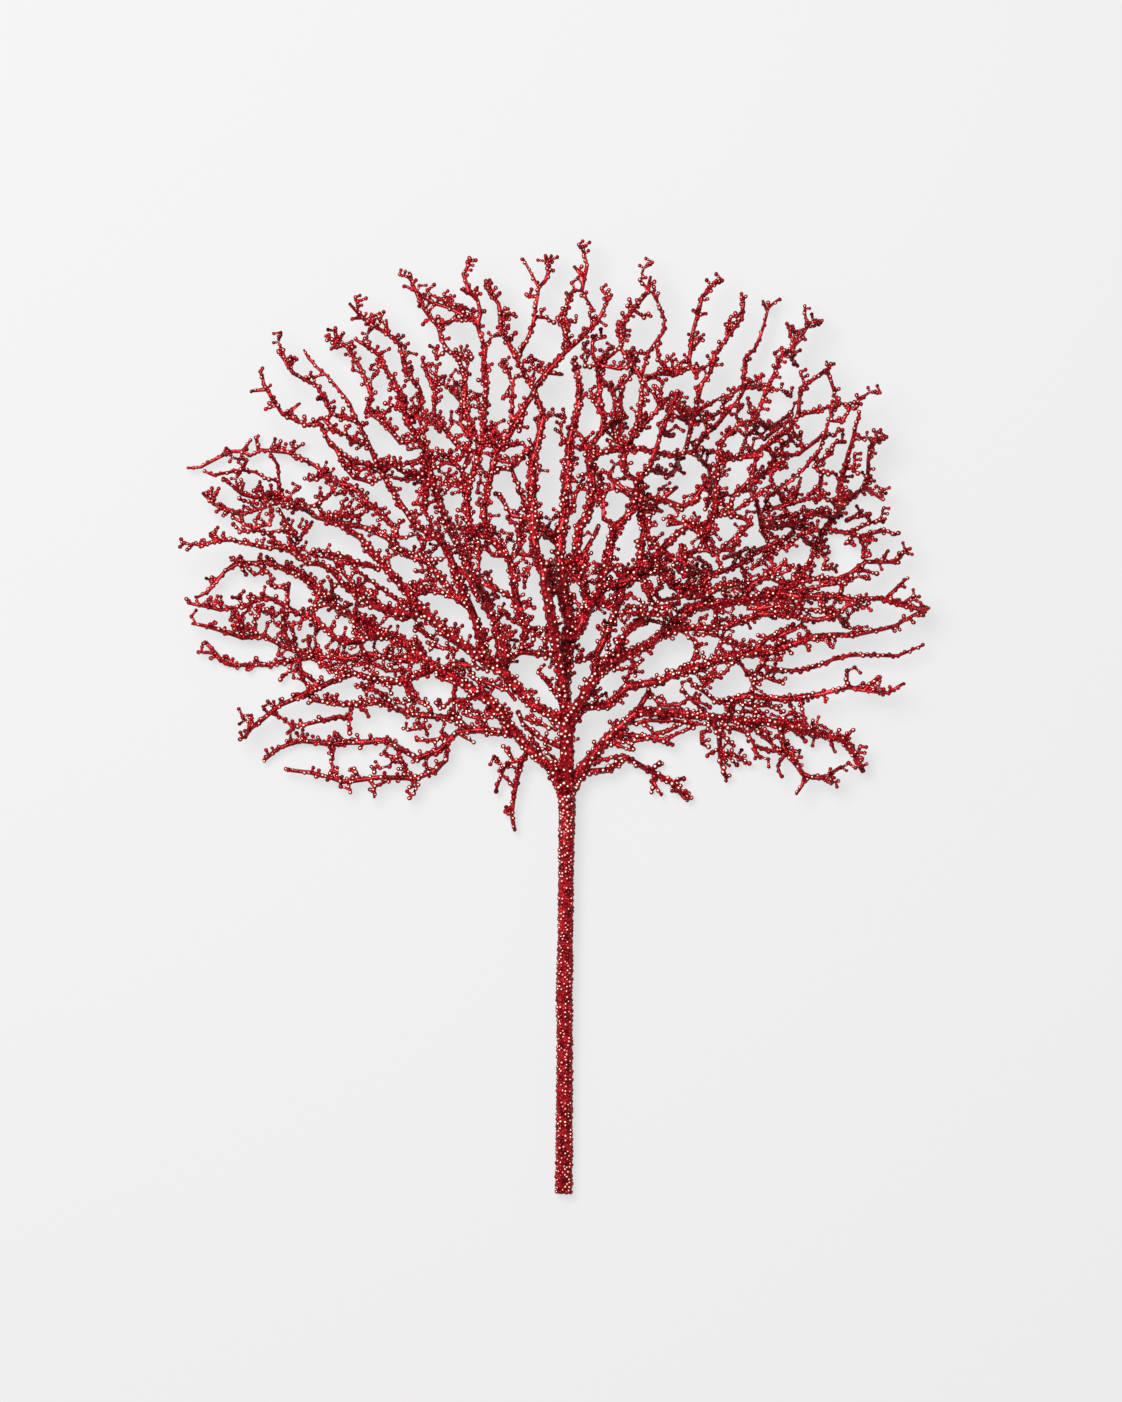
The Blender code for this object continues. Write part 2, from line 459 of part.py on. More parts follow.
                  (117, 270), (119, 279), (122, 287), (129, 294)]),
        (TWIG, [(121, 285), (118, 292)]),
        (SPRIG, [(76, 198), (80, 194), (85, 192)]),
        (SPRIG, [(66, 197), (67, 192), (61, 185)]),
        (TWIG, [(107, 240), (113, 240), (120, 237)]),
    ]),
    ("top_inner_branch", "cross_branch", 24, [
        (SPRIG, [(37, 202), (40, 208), (43, 220), (44, 230), (46, 242), (42, 250), (36, 257),
                 (33, 262), (33, 270), (35, 278), (40, 284), (45, 291), (49, 297), (51, 306)]),
        (TWIG, [(49, 297), (44, 304)]),
        (TWIG, [(34, 264), (27, 258), (20, 252)]),
        (SPRIG, [(45, 244), (49, 259), (54, 266), (58, 272), (59, 280), (55, 289)]),
        (SPRIG, [(32, 202), (33, 215), (33, 232), (33, 240), (38, 245)]),
        (TWIG, [(33, 206), (27, 210), (22, 214)]),
    ]),
    ("top_right_branch", "top_inner_branch", 32, [
        (SPRIG, [(46, 242), (55, 247), (65, 246), (73, 250), (74, 259), (75, 268), (77, 277),
                 (79, 285), (81, 293), (87, 299)]),
        (TWIG, [(78, 281), (84, 283)]),
        (TWIG, [(75, 260), (81, 268)]),
    ]),
    ("top_far_branch", "cross_branch", 30, [
        (SPRIG, [(71, 199), (73, 206), (76, 215), (77, 225), (79, 232), (81, 241), (86, 248),
                 (89, 258), (94, 266), (100, 272), (105, 280), (106, 289), (104, 296)]),
        (TWIG, [(97, 270), (96, 277)]),
        (SPRIG, [(77, 223), (70, 222), (64, 229)]),
        (TWIG, [(77, 222), (88, 228), (95, 234)]),
    ]),
    ("far_right_branch", "fan_middle_branch", 22, [
        (BRANCH, [(90, 195), (97, 195), (103, 196), (110, 197), (117, 202), (122, 205),
                  (127, 209), (134, 214), (138, 221), (139, 229), (140, 238), (148, 245),
                  (157, 250), (156, 255)]),
        (SPRIG, [(138, 222), (150, 224), (160, 228)]),
        (TWIG, [(156, 249), (159, 243), (161, 235)]),
        (SPRIG, [(118, 201), (126, 198), (133, 197), (139, 198), (143, 201), (148, 206),
                 (152, 209), (162, 211)]),
        (TWIG, [(128, 198), (129, 205), (134, 207)]),
        (SPRIG, [(125, 198), (121, 192), (119, 187), (114, 184)]),
        (TWIG, [(113, 199), (106, 205)]),
        (TWIG, [(142, 201), (139, 209)]),
    ]),
    ("far_top_branch", "fan_middle_branch", 14, [
        (SPRIG, [(112, 218), (118, 230), (121, 238), (124, 247), (128, 256), (135, 262),
                 (141, 268), (144, 275), (143, 286)]),
        (TWIG, [(144, 274), (152, 278)]),
        (TWIG, [(136, 263), (134, 276)]),
        (TWIG, [(131, 258), (139, 253)]),
        (SPRIG, [(113, 219), (122, 214), (130, 220), (136, 225)]),
        (TWIG, [(112, 217), (113, 213), (108, 210)]),
    ]),
]


class Route:
    """One branch: where it runs in plan, how thick it is, and what carries it."""

    def __init__(self, piece, radii, points, height):
        self.piece = piece
        self.radii = radii
        self.points = points
        self.height = height
        self.carrier = None       # the route it grows from
        self.root = None          # where on it: stretch number, and how far along the stretch
        self.first = 0            # place of its first point in the arrays of all points


def distance_to_run(point, start, end):
    """Distance in plan from a point to a straight run, and how far along the run it is."""
    run = np.subtract(end, start)
    along = float(np.dot(np.subtract(point, start), run) / max(np.dot(run, run), 1e-9))
    along = min(max(along, 0.0), 1.0)
    nearest = np.add(start, along * run)
    return float(np.hypot(*np.subtract(point, nearest))), along, nearest


def thinned(points):
    """Leave out the waypoints that lie almost on the straight run between their neighbours."""
    if len(points) < 3:
        return list(points)
    far = [distance_to_run(p, points[0], points[-1])[0] for p in points[1:-1]]
    worst = int(np.argmax(far))
    if far[worst] < STRAIGHTNESS:
        return [points[0], points[-1]]
    return thinned(points[:worst + 2])[:-1] + thinned(points[worst + 1:])


def place_on(routes, point):
    """The nearest place on the given routes: route, stretch number, how far along, point."""
    best = None
    for route in routes:
        for stretch in range(len(route.points) - 1):
            far, along, nearest = distance_to_run(
                point, route.points[stretch], route.points[stretch + 1])
            if best is None or far < best[0]:
                best = (far, route, stretch, along, nearest)
    return best[1:]


def laid_out():
    """All routes in plan, each starting on the middle line of what carries it."""
    routes = []
    pieces = {}
    for piece, parent, height, branches in SPRAY:
        own = []
        for radii, points in branches:
            points = thinned([tuple(map(float, p)) for p in points])
            route = Route(piece, radii, points, height)
            carriers = own if own else pieces.get(parent, [])
            if carriers:
                carrier, stretch, along, nearest = place_on(carriers, points[0])
                route.carrier = carrier
                route.root = (stretch, along)
                gap = float(np.hypot(*np.subtract(points[0], nearest)))
                if gap > 1.5 * radii[0]:
                    route.points = [tuple(nearest)] + points
                elif parent != "stem" or own:
                    route.points = [tuple(nearest)] + points[1:]
            own.append(route)
            routes.append(route)
        pieces[piece] = own
    count = 0
    for route in routes:
        route.first = count
        count += len(route.points)
    return routes


def radii_along(route):
    """Radius at each point of a route, even in length from root to tip."""
    steps = np.hypot(*np.diff(np.array(route.points), axis=0).T)
    run = np.concatenate(([0.0], np.cumsum(steps)))
    thick, thin = route.radii
    return thick + (thin - thick) * run / run[-1], run


def first_heights(routes, radius):
    """Each route leaves its carrier's height smoothly for its own. The stem slopes up evenly."""
    height = np.zeros(len(radius))
    for route in routes:
        _, run = radii_along(route)
        own = slice(route.first, route.first + len(run))
        if route.carrier is None:
            start = radius[route.first]
            rise = run / run[-1]
        else:
            start = height_on(route, height)
            rise = np.clip(run / RISE_LENGTH, 0, 1)
            rise = rise * rise * (3 - 2 * rise)
        height[own] = start + (route.height - start) * rise
    return height


def height_on(route, height):
    """Height of the carrier's middle line where a route starts."""
    stretch, along = route.root
    first = route.carrier.first + stretch
    return (1 - along) * height[first] + along * height[first + 1]


def crossings(routes, radius):
    """Places where branches of different pieces pass near each other in plan."""
    start, along, place, thick, owner, from_root = [], [], [], [], [], []
    for number, route in enumerate(routes):
        plan = np.array(route.points)
        for stretch in range(len(plan) - 1):
            length = np.hypot(*(plan[stretch + 1] - plan[stretch]))
            samples = max(3, math.ceil(length / SAMPLE_STEP))
            for step in range(samples):
                t = (step + 0.5) / samples
                spot = (1 - t) * plan[stretch] + t * plan[stretch + 1]
                first = route.first + stretch
                start.append(first)
                along.append(t)
                place.append(spot)
                thick.append((1 - t) * radius[first] + t * radius[first + 1])
                owner.append(number)
                from_root.append(np.hypot(*(spot - plan[0])))
    start, along, place = np.array(start), np.array(along), np.array(place)
    thick, owner, from_root = np.array(thick), np.array(owner), np.array(from_root)
    pieces = [route.piece for route in routes]
    parents = [route.carrier.piece if route.carrier else "" for route in routes]
    first_of, second_of = [], []
    for number in range(len(start)):
        apart = np.hypot(*(place[number + 1:] - place[number]).T)
        near = apart < thick[number + 1:] + thick[number] + GAP + CROSSING_MARGIN
        for other in np.nonzero(near)[0] + number + 1:
            a, b = owner[number], owner[other]
            at_root_a = from_root[number] < ROOT_REACH
            at_root_b = from_root[other] < ROOT_REACH
            if pieces[a] == pieces[b]:
                continue
            if at_root_a and pieces[b] in (parents[a], "stem"):
                continue
            if at_root_b and pieces[a] in (parents[b], "stem"):
                continue
            if at_root_a and at_root_b and parents[a] == parents[b]:
                continue
            first_of.append(number)
            second_of.append(other)
    first_of, second_of = np.array(first_of), np.array(second_of)
    apart = np.hypot(*(place[first_of] - place[second_of]).T)
    reach = thick[first_of] + thick[second_of] + GAP + CROSSING_MARGIN
    needed = np.sqrt(np.maximum(reach ** 2 - apart ** 2, 0))
    return (start[first_of], along[first_of], start[second_of], along[second_of],
            owner[first_of], owner[second_of], needed)


def eased_heights(routes, radius):
    """Heights of all points, with crossing branches eased apart and nothing under the table."""
    height = first_heights(routes, radius)
    a, ta, b, tb, route_a, route_b, needed = crossings(routes, radius)

    def step_between():
        return ((1 - ta) * height[a] + ta * height[a + 1]
                - (1 - tb) * height[b] - tb * height[b + 1])

    # At each crossing of two routes, the one that starts out higher stays above.
    pair = route_a * len(routes) + route_b
    _, group = np.unique(pair, return_inverse=True)
    side = np.where(np.bincount(group, step_between() * needed) >= 0, 1.0, -1.0)[group]
    inner = np.zeros(len(radius), bool)
    for route in routes:
        inner[route.first + 1:route.first + len(route.points) - 1] = True
    rigid = slice(0, routes[2].first)
    rigid_height = height[rigid].copy()
    for turn in range(EASING_ROUNDS):
        short = np.maximum(needed - side * step_between(), 0) * side
        push = np.zeros(len(radius))
        weight = np.full(len(radius), 1e-9)
        for spot, share, way in ((a, 1 - ta, 1), (a + 1, ta, 1), (b, 1 - tb, -1), (b + 1, tb, -1)):
            np.add.at(push, spot, 0.5 * way * share * short)
            np.add.at(weight, spot, share * (short != 0))
        height += 1.1 * push / np.maximum(weight, 1.0)
        if turn < EASING_ROUNDS * 0.7:
            middle = np.zeros(len(radius))
            middle[1:-1] = 0.5 * (height[:-2] + height[2:]) - height[1:-1]
            height += SMOOTHING * np.where(inner, middle, 0)
        height = np.clip(height, radius, TOP_HEIGHT)
        height[rigid] = rigid_height
        for route in routes:
            if route.carrier:
                height[route.first] = height_on(route, height)
    return height


def tube(name, points, radii, sides, turn):
    """A closed tube along points in millimetres, as a mesh object."""
    curve = bpy.data.curves.new(name, "CURVE")
    curve.dimensions = "3D"
    curve.bevel_depth = MM
    curve.bevel_resolution = (sides - 4) // 2
    curve.use_fill_caps = True
    spline = curve.splines.new("POLY")
    spline.points.add(len(points) - 1)
    for point, place, radius in zip(spline.points, points, radii):
        point.co = (*(np.array(place) * MM), 1)
        point.radius = radius
        point.tilt = turn
    guide = bpy.data.objects.new(name + "_line", curve)
    bpy.context.scene.collection.objects.link(guide)
    bpy.context.view_layer.update()
    mesh = bpy.data.meshes.new_from_object(
        guide.evaluated_get(bpy.context.evaluated_depsgraph_get()))
    bpy.data.objects.remove(guide)
    shape = bmesh.new()
    shape.from_mesh(mesh)
    bmesh.ops.remove_doubles(shape, verts=shape.verts, dist=0.00001)
    bmesh.ops.recalc_face_normals(shape, faces=shape.faces)
    shape.to_mesh(mesh)
    shape.free()
    return bpy.data.objects.new(name, mesh)


def sides_for(radii):
    """The stem has eight sides, the trunk and limbs six, the rest four."""
    if radii == STEM:
        return 8
    return 6 if radii in (TRUNK, LIMB) else 4


def boolean(piece, operation, operand, name):
    """Join or cut a piece with another object or a whole collection."""
    modifier = piece.modifiers.new(name, "BOOLEAN")
    modifier.operation = operation
    modifier.solver = "EXACT"
    if isinstance(operand, bpy.types.Collection):
        modifier.operand_type = "COLLECTION"
        modifier.collection = operand
    else:
        modifier.object = operand


def keep_largest(shape):
    """Drop crumbs that a cut has left, keeping the body with the most vertices."""
    left = set(shape.verts)
    bodies = []
    while left:
        seed = left.pop()
        body, front = {seed}, [seed]
        while front:
            for edge in front.pop().link_edges:
                for vert in edge.verts:
                    if vert in left:
                        left.discard(vert)
                        body.add(vert)
                        front.append(vert)
        bodies.append(body)
    bodies.sort(key=len)
    for body in bodies[:-1]:
        bmesh.ops.delete(shape, geom=list(body), context="VERTS")


def coral_material():
    """Deep red, glossy, slightly metallic moulded surface."""
    material = bpy.data.materials.new("coral_red")
    material.use_nodes = True
    shader = material.node_tree.nodes["Principled BSDF"]
    shader.inputs["Base Color"].default_value = CORAL_RED
    shader.inputs["Roughness"].default_value = CORAL_ROUGHNESS
    shader.inputs["Metallic"].default_value = CORAL_METALLIC
    material.diffuse_color = CORAL_RED
    return material


def build_piece(name, routes, height, radius, parts, material):
    """One limb with its side branches, joined into one body and cut clear of its carrier."""
    scratch = bpy.data.collections.new(name + "_branches")
    bpy.context.scene.collection.children.link(scratch)
    tubes = []
    for number, route in enumerate(routes):
        own = slice(route.first, route.first + len(route.points))
        points = np.column_stack([np.array(route.points), height[own]])
        turn = SECTION_TURN * (1 + number % 4)
        tubes.append(tube(f"{name}_{number}", points, radius[own], sides_for(route.radii), turn))
    piece = tubes[0]
    parts.objects.link(piece)
    for side_branch in tubes[1:]:
        scratch.objects.link(side_branch)
    if len(tubes) > 1:
        boolean(piece, "UNION", scratch, "join")
    cutter = None
    carrier = routes[0].carrier
    if carrier is not None and name != "trunk":
        own = slice(carrier.first, carrier.first + len(carrier.points))
        points = np.column_stack([np.array(carrier.points), height[own]])
        sides = sides_for(carrier.radii)
        clear = radius[own] + GAP / math.cos(math.pi / sides)
        cutter = tube(name + "_clearance", points, clear, sides, SECTION_TURN)
        bpy.context.scene.collection.objects.link(cutter)
        boolean(piece, "DIFFERENCE", cutter, "cut")
    bpy.context.view_layer.update()
    mesh = bpy.data.meshes.new_from_object(
        piece.evaluated_get(bpy.context.evaluated_depsgraph_get()))
    piece.modifiers.clear()
    shape = bmesh.new()
    shape.from_mesh(mesh)
    bmesh.ops.remove_doubles(shape, verts=shape.verts, dist=0.00001)
    keep_largest(shape)
    bmesh.ops.triangulate(shape, faces=shape.faces)
    bmesh.ops.dissolve_degenerate(shape, edges=shape.edges, dist=0.00001)
    bmesh.ops.triangulate(shape, faces=shape.faces)
    shape.to_mesh(mesh)
    shape.free()
    mesh.materials.clear()
    mesh.materials.append(material)
    mesh.name = name
    piece.data = mesh
    piece.name = name
    for other in list(scratch.objects) + ([cutter] if cutter else []):
        bpy.data.objects.remove(other)
    bpy.data.collections.remove(scratch)
    return piece


def settle(pieces):
    """Put the origin under the middle of the spray's box, with its lowest point on the table."""
    corners = np.array([vert.co for piece in pieces for vert in piece.data.vertices])
    low, high = corners.min(axis=0), corners.max(axis=0)
    shift = -np.array([(low[0] + high[0]) / 2, (low[1] + high[1]) / 2, low[2]])
    for piece in pieces:
        for vert in piece.data.vertices:
            vert.co = np.array(vert.co) + shift
        piece.data.update()


def main():
    for leftover in list(bpy.data.objects):
        bpy.data.objects.remove(leftover)
    parts = bpy.data.collections.new("red_coral_branch")
    bpy.context.scene.collection.children.link(parts)
    material = coral_material()
    routes = laid_out()
    radius = np.concatenate([radii_along(route)[0] for route in routes])
    for route in routes:
        if route.carrier and route.piece != "trunk":
            first = route.carrier.first + route.root[0]
            radius[route.first] = min(radius[route.first], 0.8 * radius[first])
    height = eased_heights(routes, radius)
    pieces = []
    for name, _, _, _ in SPRAY:
        own = [route for route in routes if route.piece == name]
        pieces.append(build_piece(name, own, height, radius, parts, material))
    settle(pieces)


main()
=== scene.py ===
"""The red coral branch as it looks: beaded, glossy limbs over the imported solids, seen from above."""

import json
import math
import random

import bmesh
import bpy
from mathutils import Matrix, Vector
from mathutils.bvhtree import BVHTree
from mathutils.kdtree import KDTree

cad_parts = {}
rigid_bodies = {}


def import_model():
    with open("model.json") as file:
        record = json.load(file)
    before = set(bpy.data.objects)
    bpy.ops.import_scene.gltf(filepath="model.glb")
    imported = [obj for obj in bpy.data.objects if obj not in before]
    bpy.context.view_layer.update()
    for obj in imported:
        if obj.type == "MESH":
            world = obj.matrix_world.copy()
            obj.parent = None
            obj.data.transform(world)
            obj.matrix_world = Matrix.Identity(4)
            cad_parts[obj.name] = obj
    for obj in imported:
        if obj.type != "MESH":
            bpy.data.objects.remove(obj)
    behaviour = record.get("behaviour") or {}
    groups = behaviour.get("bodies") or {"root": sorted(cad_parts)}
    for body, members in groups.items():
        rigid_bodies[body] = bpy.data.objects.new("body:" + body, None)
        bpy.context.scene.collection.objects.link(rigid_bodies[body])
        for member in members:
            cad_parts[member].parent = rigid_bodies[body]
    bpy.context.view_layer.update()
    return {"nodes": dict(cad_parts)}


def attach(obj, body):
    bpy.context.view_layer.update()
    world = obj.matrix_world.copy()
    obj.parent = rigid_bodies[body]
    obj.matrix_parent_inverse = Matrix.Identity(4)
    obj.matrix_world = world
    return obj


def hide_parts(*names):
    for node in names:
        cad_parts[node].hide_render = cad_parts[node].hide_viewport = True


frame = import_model()

MM = 0.001
PAINTED_HIGHLIGHT_ATTRIBUTE = "crest"           # value of a bead's corners that places its painted highlight: one on its crest, if it has one

# Where the stem opens out, in the plan of the imported solids.
FORK = Vector((0.0043, -0.0380, 0.0))

# Fine branches between the limbs, which the imported solids leave out. Each runs through points
# in millimetres from the fork, in the fan's plane, read from the photograph.
LACE = [
    # upper left
    [(-87, 294), (-79, 289), (-70, 286), (-59, 280), (-54, 277)],
    [(-76, 276), (-65, 279), (-56, 278)],
    [(-37, 255), (-35, 248), (-33, 244)],
    [(-38, 231), (-33, 240)],
    [(-70, 240), (-65, 232), (-60, 228)],
    [(-67, 241), (-66, 234)],
    [(-62, 225), (-64, 217), (-58, 210), (-52, 207)],
    [(-120, 225), (-110, 222), (-104, 228), (-96, 226)],
    [(-94, 217), (-89, 221), (-79, 217), (-75, 211)],
    [(-91, 228), (-88, 219), (-85, 209)],
    [(-147, 221), (-139, 212), (-131, 210), (-129, 205), (-124, 207), (-118, 204)],
    [(-139, 204), (-133, 192), (-127, 184), (-116, 181), (-109, 186)],
    [(-136, 195), (-125, 189), (-115, 190)],
    [(-155, 183), (-146, 186), (-138, 182), (-142, 174), (-151, 168), (-163, 166), (-170, 168)],
    [(-149, 171), (-147, 162)],
    [(-139, 175), (-127, 179), (-120, 172), (-119, 166), (-125, 162), (-136, 161), (-145, 160)],
    [(-152, 159), (-158, 150), (-164, 142), (-159, 138), (-152, 138)],
    [(-161, 151), (-170, 153), (-179, 151)],
    [(-201, 162), (-192, 156), (-187, 154), (-177, 156), (-175, 166)],
    [(-197, 172), (-185, 169)],
    [(-84, 188), (-83, 177), (-85, 165), (-81, 156)],
    [(-92, 169), (-83, 169), (-77, 171)],
    [(-104, 184), (-95, 183), (-84, 185)],
    [(-76, 200), (-68, 195), (-62, 197), (-58, 202)],
    [(-79, 190), (-72, 194), (-65, 192), (-61, 186), (-64, 175)],
    [(-50, 203), (-42, 204), (-37, 201)],
    [(-45, 216), (-41, 210), (-35, 206)],
    [(-41, 195), (-29, 192), (-23, 201), (-19, 205)],
    [(-31, 222), (-26, 219), (-28, 211)],
    # middle left
    [(-103, 155), (-100, 148), (-89, 151), (-86, 142), (-91, 138)],
    [(-89, 148), (-76, 148), (-71, 137), (-79, 135), (-84, 137)],
    [(-77, 160), (-76, 149)],
    [(-91, 128), (-83, 129), (-80, 120), (-86, 115)],
    [(-94, 121), (-85, 117), (-73, 115), (-64, 111)],
    [(-67, 132), (-60, 126), (-53, 115)],
    [(-58, 126), (-55, 115), (-48, 106)],
    [(-60, 140), (-50, 143), (-43, 138), (-36, 137)],
    [(-53, 148), (-52, 135), (-53, 121)],
    [(-36, 161), (-29, 156), (-28, 144), (-29, 138)],
    [(-48, 128), (-44, 120), (-42, 113)],
    [(-32, 127), (-25, 126), (-25, 118)],
    [(-29, 105), (-25, 110), (-18, 106)],
    [(-12, 133), (-7, 123), (-4, 112), (-2, 101)],
    [(-19, 158), (-11, 150), (-4, 142)],
    [(-142, 139), (-133, 127), (-127, 120), (-121, 118), (-114, 111)],
    [(-138, 134), (-124, 133), (-114, 130)],
    [(-151, 138), (-138, 135)],
    [(-124, 124), (-122, 114), (-126, 108)],
    [(-113, 119), (-116, 112), (-114, 107)],
    [(-177, 120), (-168, 118)],
    [(-192, 131), (-187, 126), (-182, 129), (-177, 126)],
    [(-199, 106), (-194, 96), (-185, 91)],
    [(-183, 109), (-185, 100), (-191, 105), (-197, 100), (-196, 92)],
    [(-182, 106), (-174, 102), (-170, 105), (-167, 102), (-170, 96)],
    [(-170, 108), (-169, 91), (-167, 84), (-163, 82)],
    [(-162, 126), (-154, 124), (-148, 118), (-151, 109), (-152, 101)],
    [(-151, 107), (-142, 108), (-133, 103), (-127, 100), (-128, 93)],
    [(-139, 121), (-142, 115), (-135, 111)],
    [(-127, 106), (-121, 100), (-115, 97)],
    [(-106, 103), (-98, 99), (-91, 102), (-90, 94), (-80, 88), (-82, 80)],
    [(-92, 89), (-83, 77)],
    [(-80, 84), (-68, 82), (-67, 73), (-55, 72), (-46, 69)],
    [(-73, 72), (-62, 75), (-56, 66), (-50, 57), (-41, 49), (-38, 43), (-33, 37)],
    [(-52, 63), (-43, 60), (-35, 57), (-31, 51)],
    # lower left
    [(-130, 82), (-124, 86), (-120, 75), (-118, 68)],
    [(-151, 76), (-142, 69), (-131, 71), (-119, 75), (-107, 69), (-94, 69), (-92, 74)],
    [(-104, 87), (-99, 80)],
    [(-118, 67), (-116, 57), (-108, 54), (-105, 50)],
    [(-127, 60), (-118, 57)],
    [(-107, 64), (-105, 54)],
    [(-95, 62), (-90, 54), (-97, 49), (-95, 44)],
    [(-79, 66), (-71, 63), (-62, 60), (-55, 54)],
    [(-67, 61), (-68, 52), (-76, 46)],
    [(-62, 52), (-60, 42), (-50, 39), (-41, 43), (-32, 37)],
    [(-62, 43), (-56, 49)],
    [(-64, 31), (-55, 25)],
    [(-160, 74), (-158, 63), (-153, 57)],
    [(-130, 50), (-121, 45), (-118, 41)],
    [(-96, 33), (-85, 35), (-83, 29)],
    [(-91, 27), (-83, 27), (-72, 29)],
    [(-104, 26), (-101, 19), (-107, 11)],
    [(-109, 18), (-101, 16), (-96, 11)],
    [(-142, 16), (-140, 7)],
    [(-130, 10), (-124, 5)],
    [(-115, 11), (-116, 6)],
    [(-131, 2), (-130, -5)],
    [(-119, 4), (-115, -1), (-115, -8)],
    [(-115, -1), (-108, 2)],
    [(-92, 4), (-89, 0), (-92, -6)],
    [(-36, 92), (-38, 84), (-34, 80)],
    [(-20, 95), (-20, 86), (-22, 82)],
    [(-11, 97), (-13, 82)],
    [(-16, 68), (-10, 60), (-4, 51)],
    [(-25, 40), (-17, 37), (-5, 33)],
    [(-22, 30), (-16, 22), (-8, 21)],
    [(-39, 106), (-34, 100), (-27, 96)],
    # crotches at the fork
    [(3, 28), (4, 35), (6, 40), (11, 43)],
    [(2, -8), (5, -2), (10, 4)],
    [(-3, -8), (-5, 0), (-10, 6)],
    [(-3, 8), (-6, 15), (-12, 20)],
    # upper right
    [(51, 297), (54, 292), (56, 288)],
    [(37, 288), (42, 284), (47, 280)],
    [(10, 264), (13, 258), (11, 251), (20, 252), (31, 250), (40, 252), (43, 259), (40, 263)],
    [(31, 277), (32, 270), (35, 265)],
    [(55, 261), (56, 255), (60, 249)],
    [(64, 255), (63, 248)],
    [(47, 240), (53, 235), (56, 228), (53, 223), (47, 217), (44, 212)],
    [(56, 228), (62, 232), (66, 229), (72, 224)],
    [(60, 225), (65, 222), (74, 218), (84, 219), (94, 225), (95, 232), (102, 237), (107, 240)],
    [(109, 232), (112, 225), (111, 218)],
    [(74, 252), (78, 244)],
    [(20, 244), (26, 239), (30, 232), (28, 217), (27, 209)],
    [(113, 213), (119, 208), (126, 213), (135, 219)],
    [(158, 226), (159, 219), (166, 218), (170, 226), (173, 226), (176, 232)],
    [(160, 234), (163, 232), (161, 225), (165, 230)],
    [(146, 196), (152, 195), (158, 199), (161, 205)],
    [(130, 196), (122, 187), (124, 180), (118, 177), (110, 171), (103, 166)],
    [(86, 193), (87, 180), (86, 172), (83, 165)],
    [(81, 173), (74, 169), (68, 164)],
    [(57, 170), (50, 167), (43, 172)],
    [(25, 185), (34, 178), (42, 175)],
    [(19, 187), (22, 177), (18, 167)],
    [(117, 165), (128, 167), (140, 171), (151, 172)],
    [(121, 159), (134, 162), (147, 165)],
    # middle right
    [(117, 154), (133, 156), (143, 153), (134, 144), (125, 142), (118, 136), (112, 130)],
    [(131, 136), (134, 129), (125, 126), (118, 130)],
    [(91, 141), (98, 141), (104, 150), (111, 157)],
    [(94, 136), (101, 138), (108, 142)],
    [(61, 156), (71, 157), (80, 150), (87, 153)],
    [(80, 151), (84, 143), (79, 139)],
    [(50, 161), (49, 151), (50, 142), (56, 142)],
    [(69, 145), (70, 136), (67, 129), (74, 126), (84, 129)],
    [(57, 132), (49, 126), (41, 123), (36, 118)],
    [(60, 127), (56, 118), (49, 113)],
    [(61, 121), (70, 114), (75, 121)],
    [(80, 121), (88, 117), (101, 120), (111, 123)],
    [(73, 112), (86, 114), (96, 121)],
    [(118, 117), (130, 118), (145, 118), (155, 120), (165, 121)],
    [(108, 106), (118, 106), (125, 108), (140, 106), (154, 103)],
    [(-7, 142), (0, 130), (4, 126), (11, 117)],
    [(0, 118), (5, 111), (11, 104)],
    [(16, 114), (25, 109), (33, 111)],
    [(169, 159), (182, 163)],
    [(168, 145), (174, 151)],
    [(152, 142), (157, 136), (154, 129)],
    [(140, 178), (134, 174), (129, 170)],
    [(151, 174), (160, 171), (164, 165)],
    [(25, 133), (32, 126), (41, 121)],
    [(16, 109), (26, 107), (39, 114), (46, 109), (41, 102)],
    [(47, 129), (56, 127), (65, 118), (74, 114), (84, 113)],
    [(47, 123), (56, 111), (68, 113), (81, 117)],
    [(33, 105), (44, 102), (53, 102), (63, 102)],
    [(42, 96), (50, 99), (59, 97)],
    [(18, 95), (26, 91), (25, 81), (32, 80)],
    [(16, 75), (25, 77), (29, 70), (40, 71), (42, 65)],
    [(38, 80), (41, 72), (36, 64)],
    [(15, 58), (19, 50)],
    [(71, 92), (77, 86), (79, 76), (83, 81)],
    [(76, 91), (89, 91), (101, 84), (110, 84), (116, 80)],
    [(92, 84), (98, 88), (105, 82)],
    [(115, 90), (125, 88), (134, 92), (141, 96)],
    [(125, 91), (128, 84), (135, 86)],
    [(118, 112), (134, 111), (142, 106), (140, 101)],
    [(106, 110), (118, 108), (126, 104)],
    [(151, 112), (155, 104)],
    [(160, 106), (166, 95)],
    [(169, 110), (179, 106)],
    # lower right
    [(88, 76), (104, 75), (109, 67), (116, 62)],
    [(78, 71), (88, 66), (95, 67), (100, 74)],
    [(86, 65), (80, 58), (75, 61)],
    [(117, 67), (125, 63), (131, 61)],
    [(49, 58), (56, 48), (68, 48), (74, 52), (87, 47)],
    [(69, 58), (76, 51), (84, 44)],
    [(100, 51), (110, 48), (122, 48), (132, 44)],
    [(106, 53), (107, 45), (119, 43)],
    [(134, 51), (137, 45), (130, 40)],
    [(40, 37), (50, 39), (65, 39), (76, 37), (87, 36)],
    [(47, 37), (53, 31), (62, 33), (71, 37)],
    [(27, 27), (40, 26), (50, 28), (62, 25)],
    [(19, 24), (29, 25), (41, 20)],
    [(13, 13), (23, 16), (36, 18)],
    [(88, 33), (82, 32), (82, 25), (87, 22)],
    [(93, 36), (101, 34), (109, 31), (116, 37)],
    [(93, 30), (98, 27), (94, 21)],
    [(115, 32), (122, 27), (128, 21)],
    [(112, 23), (117, 16)],
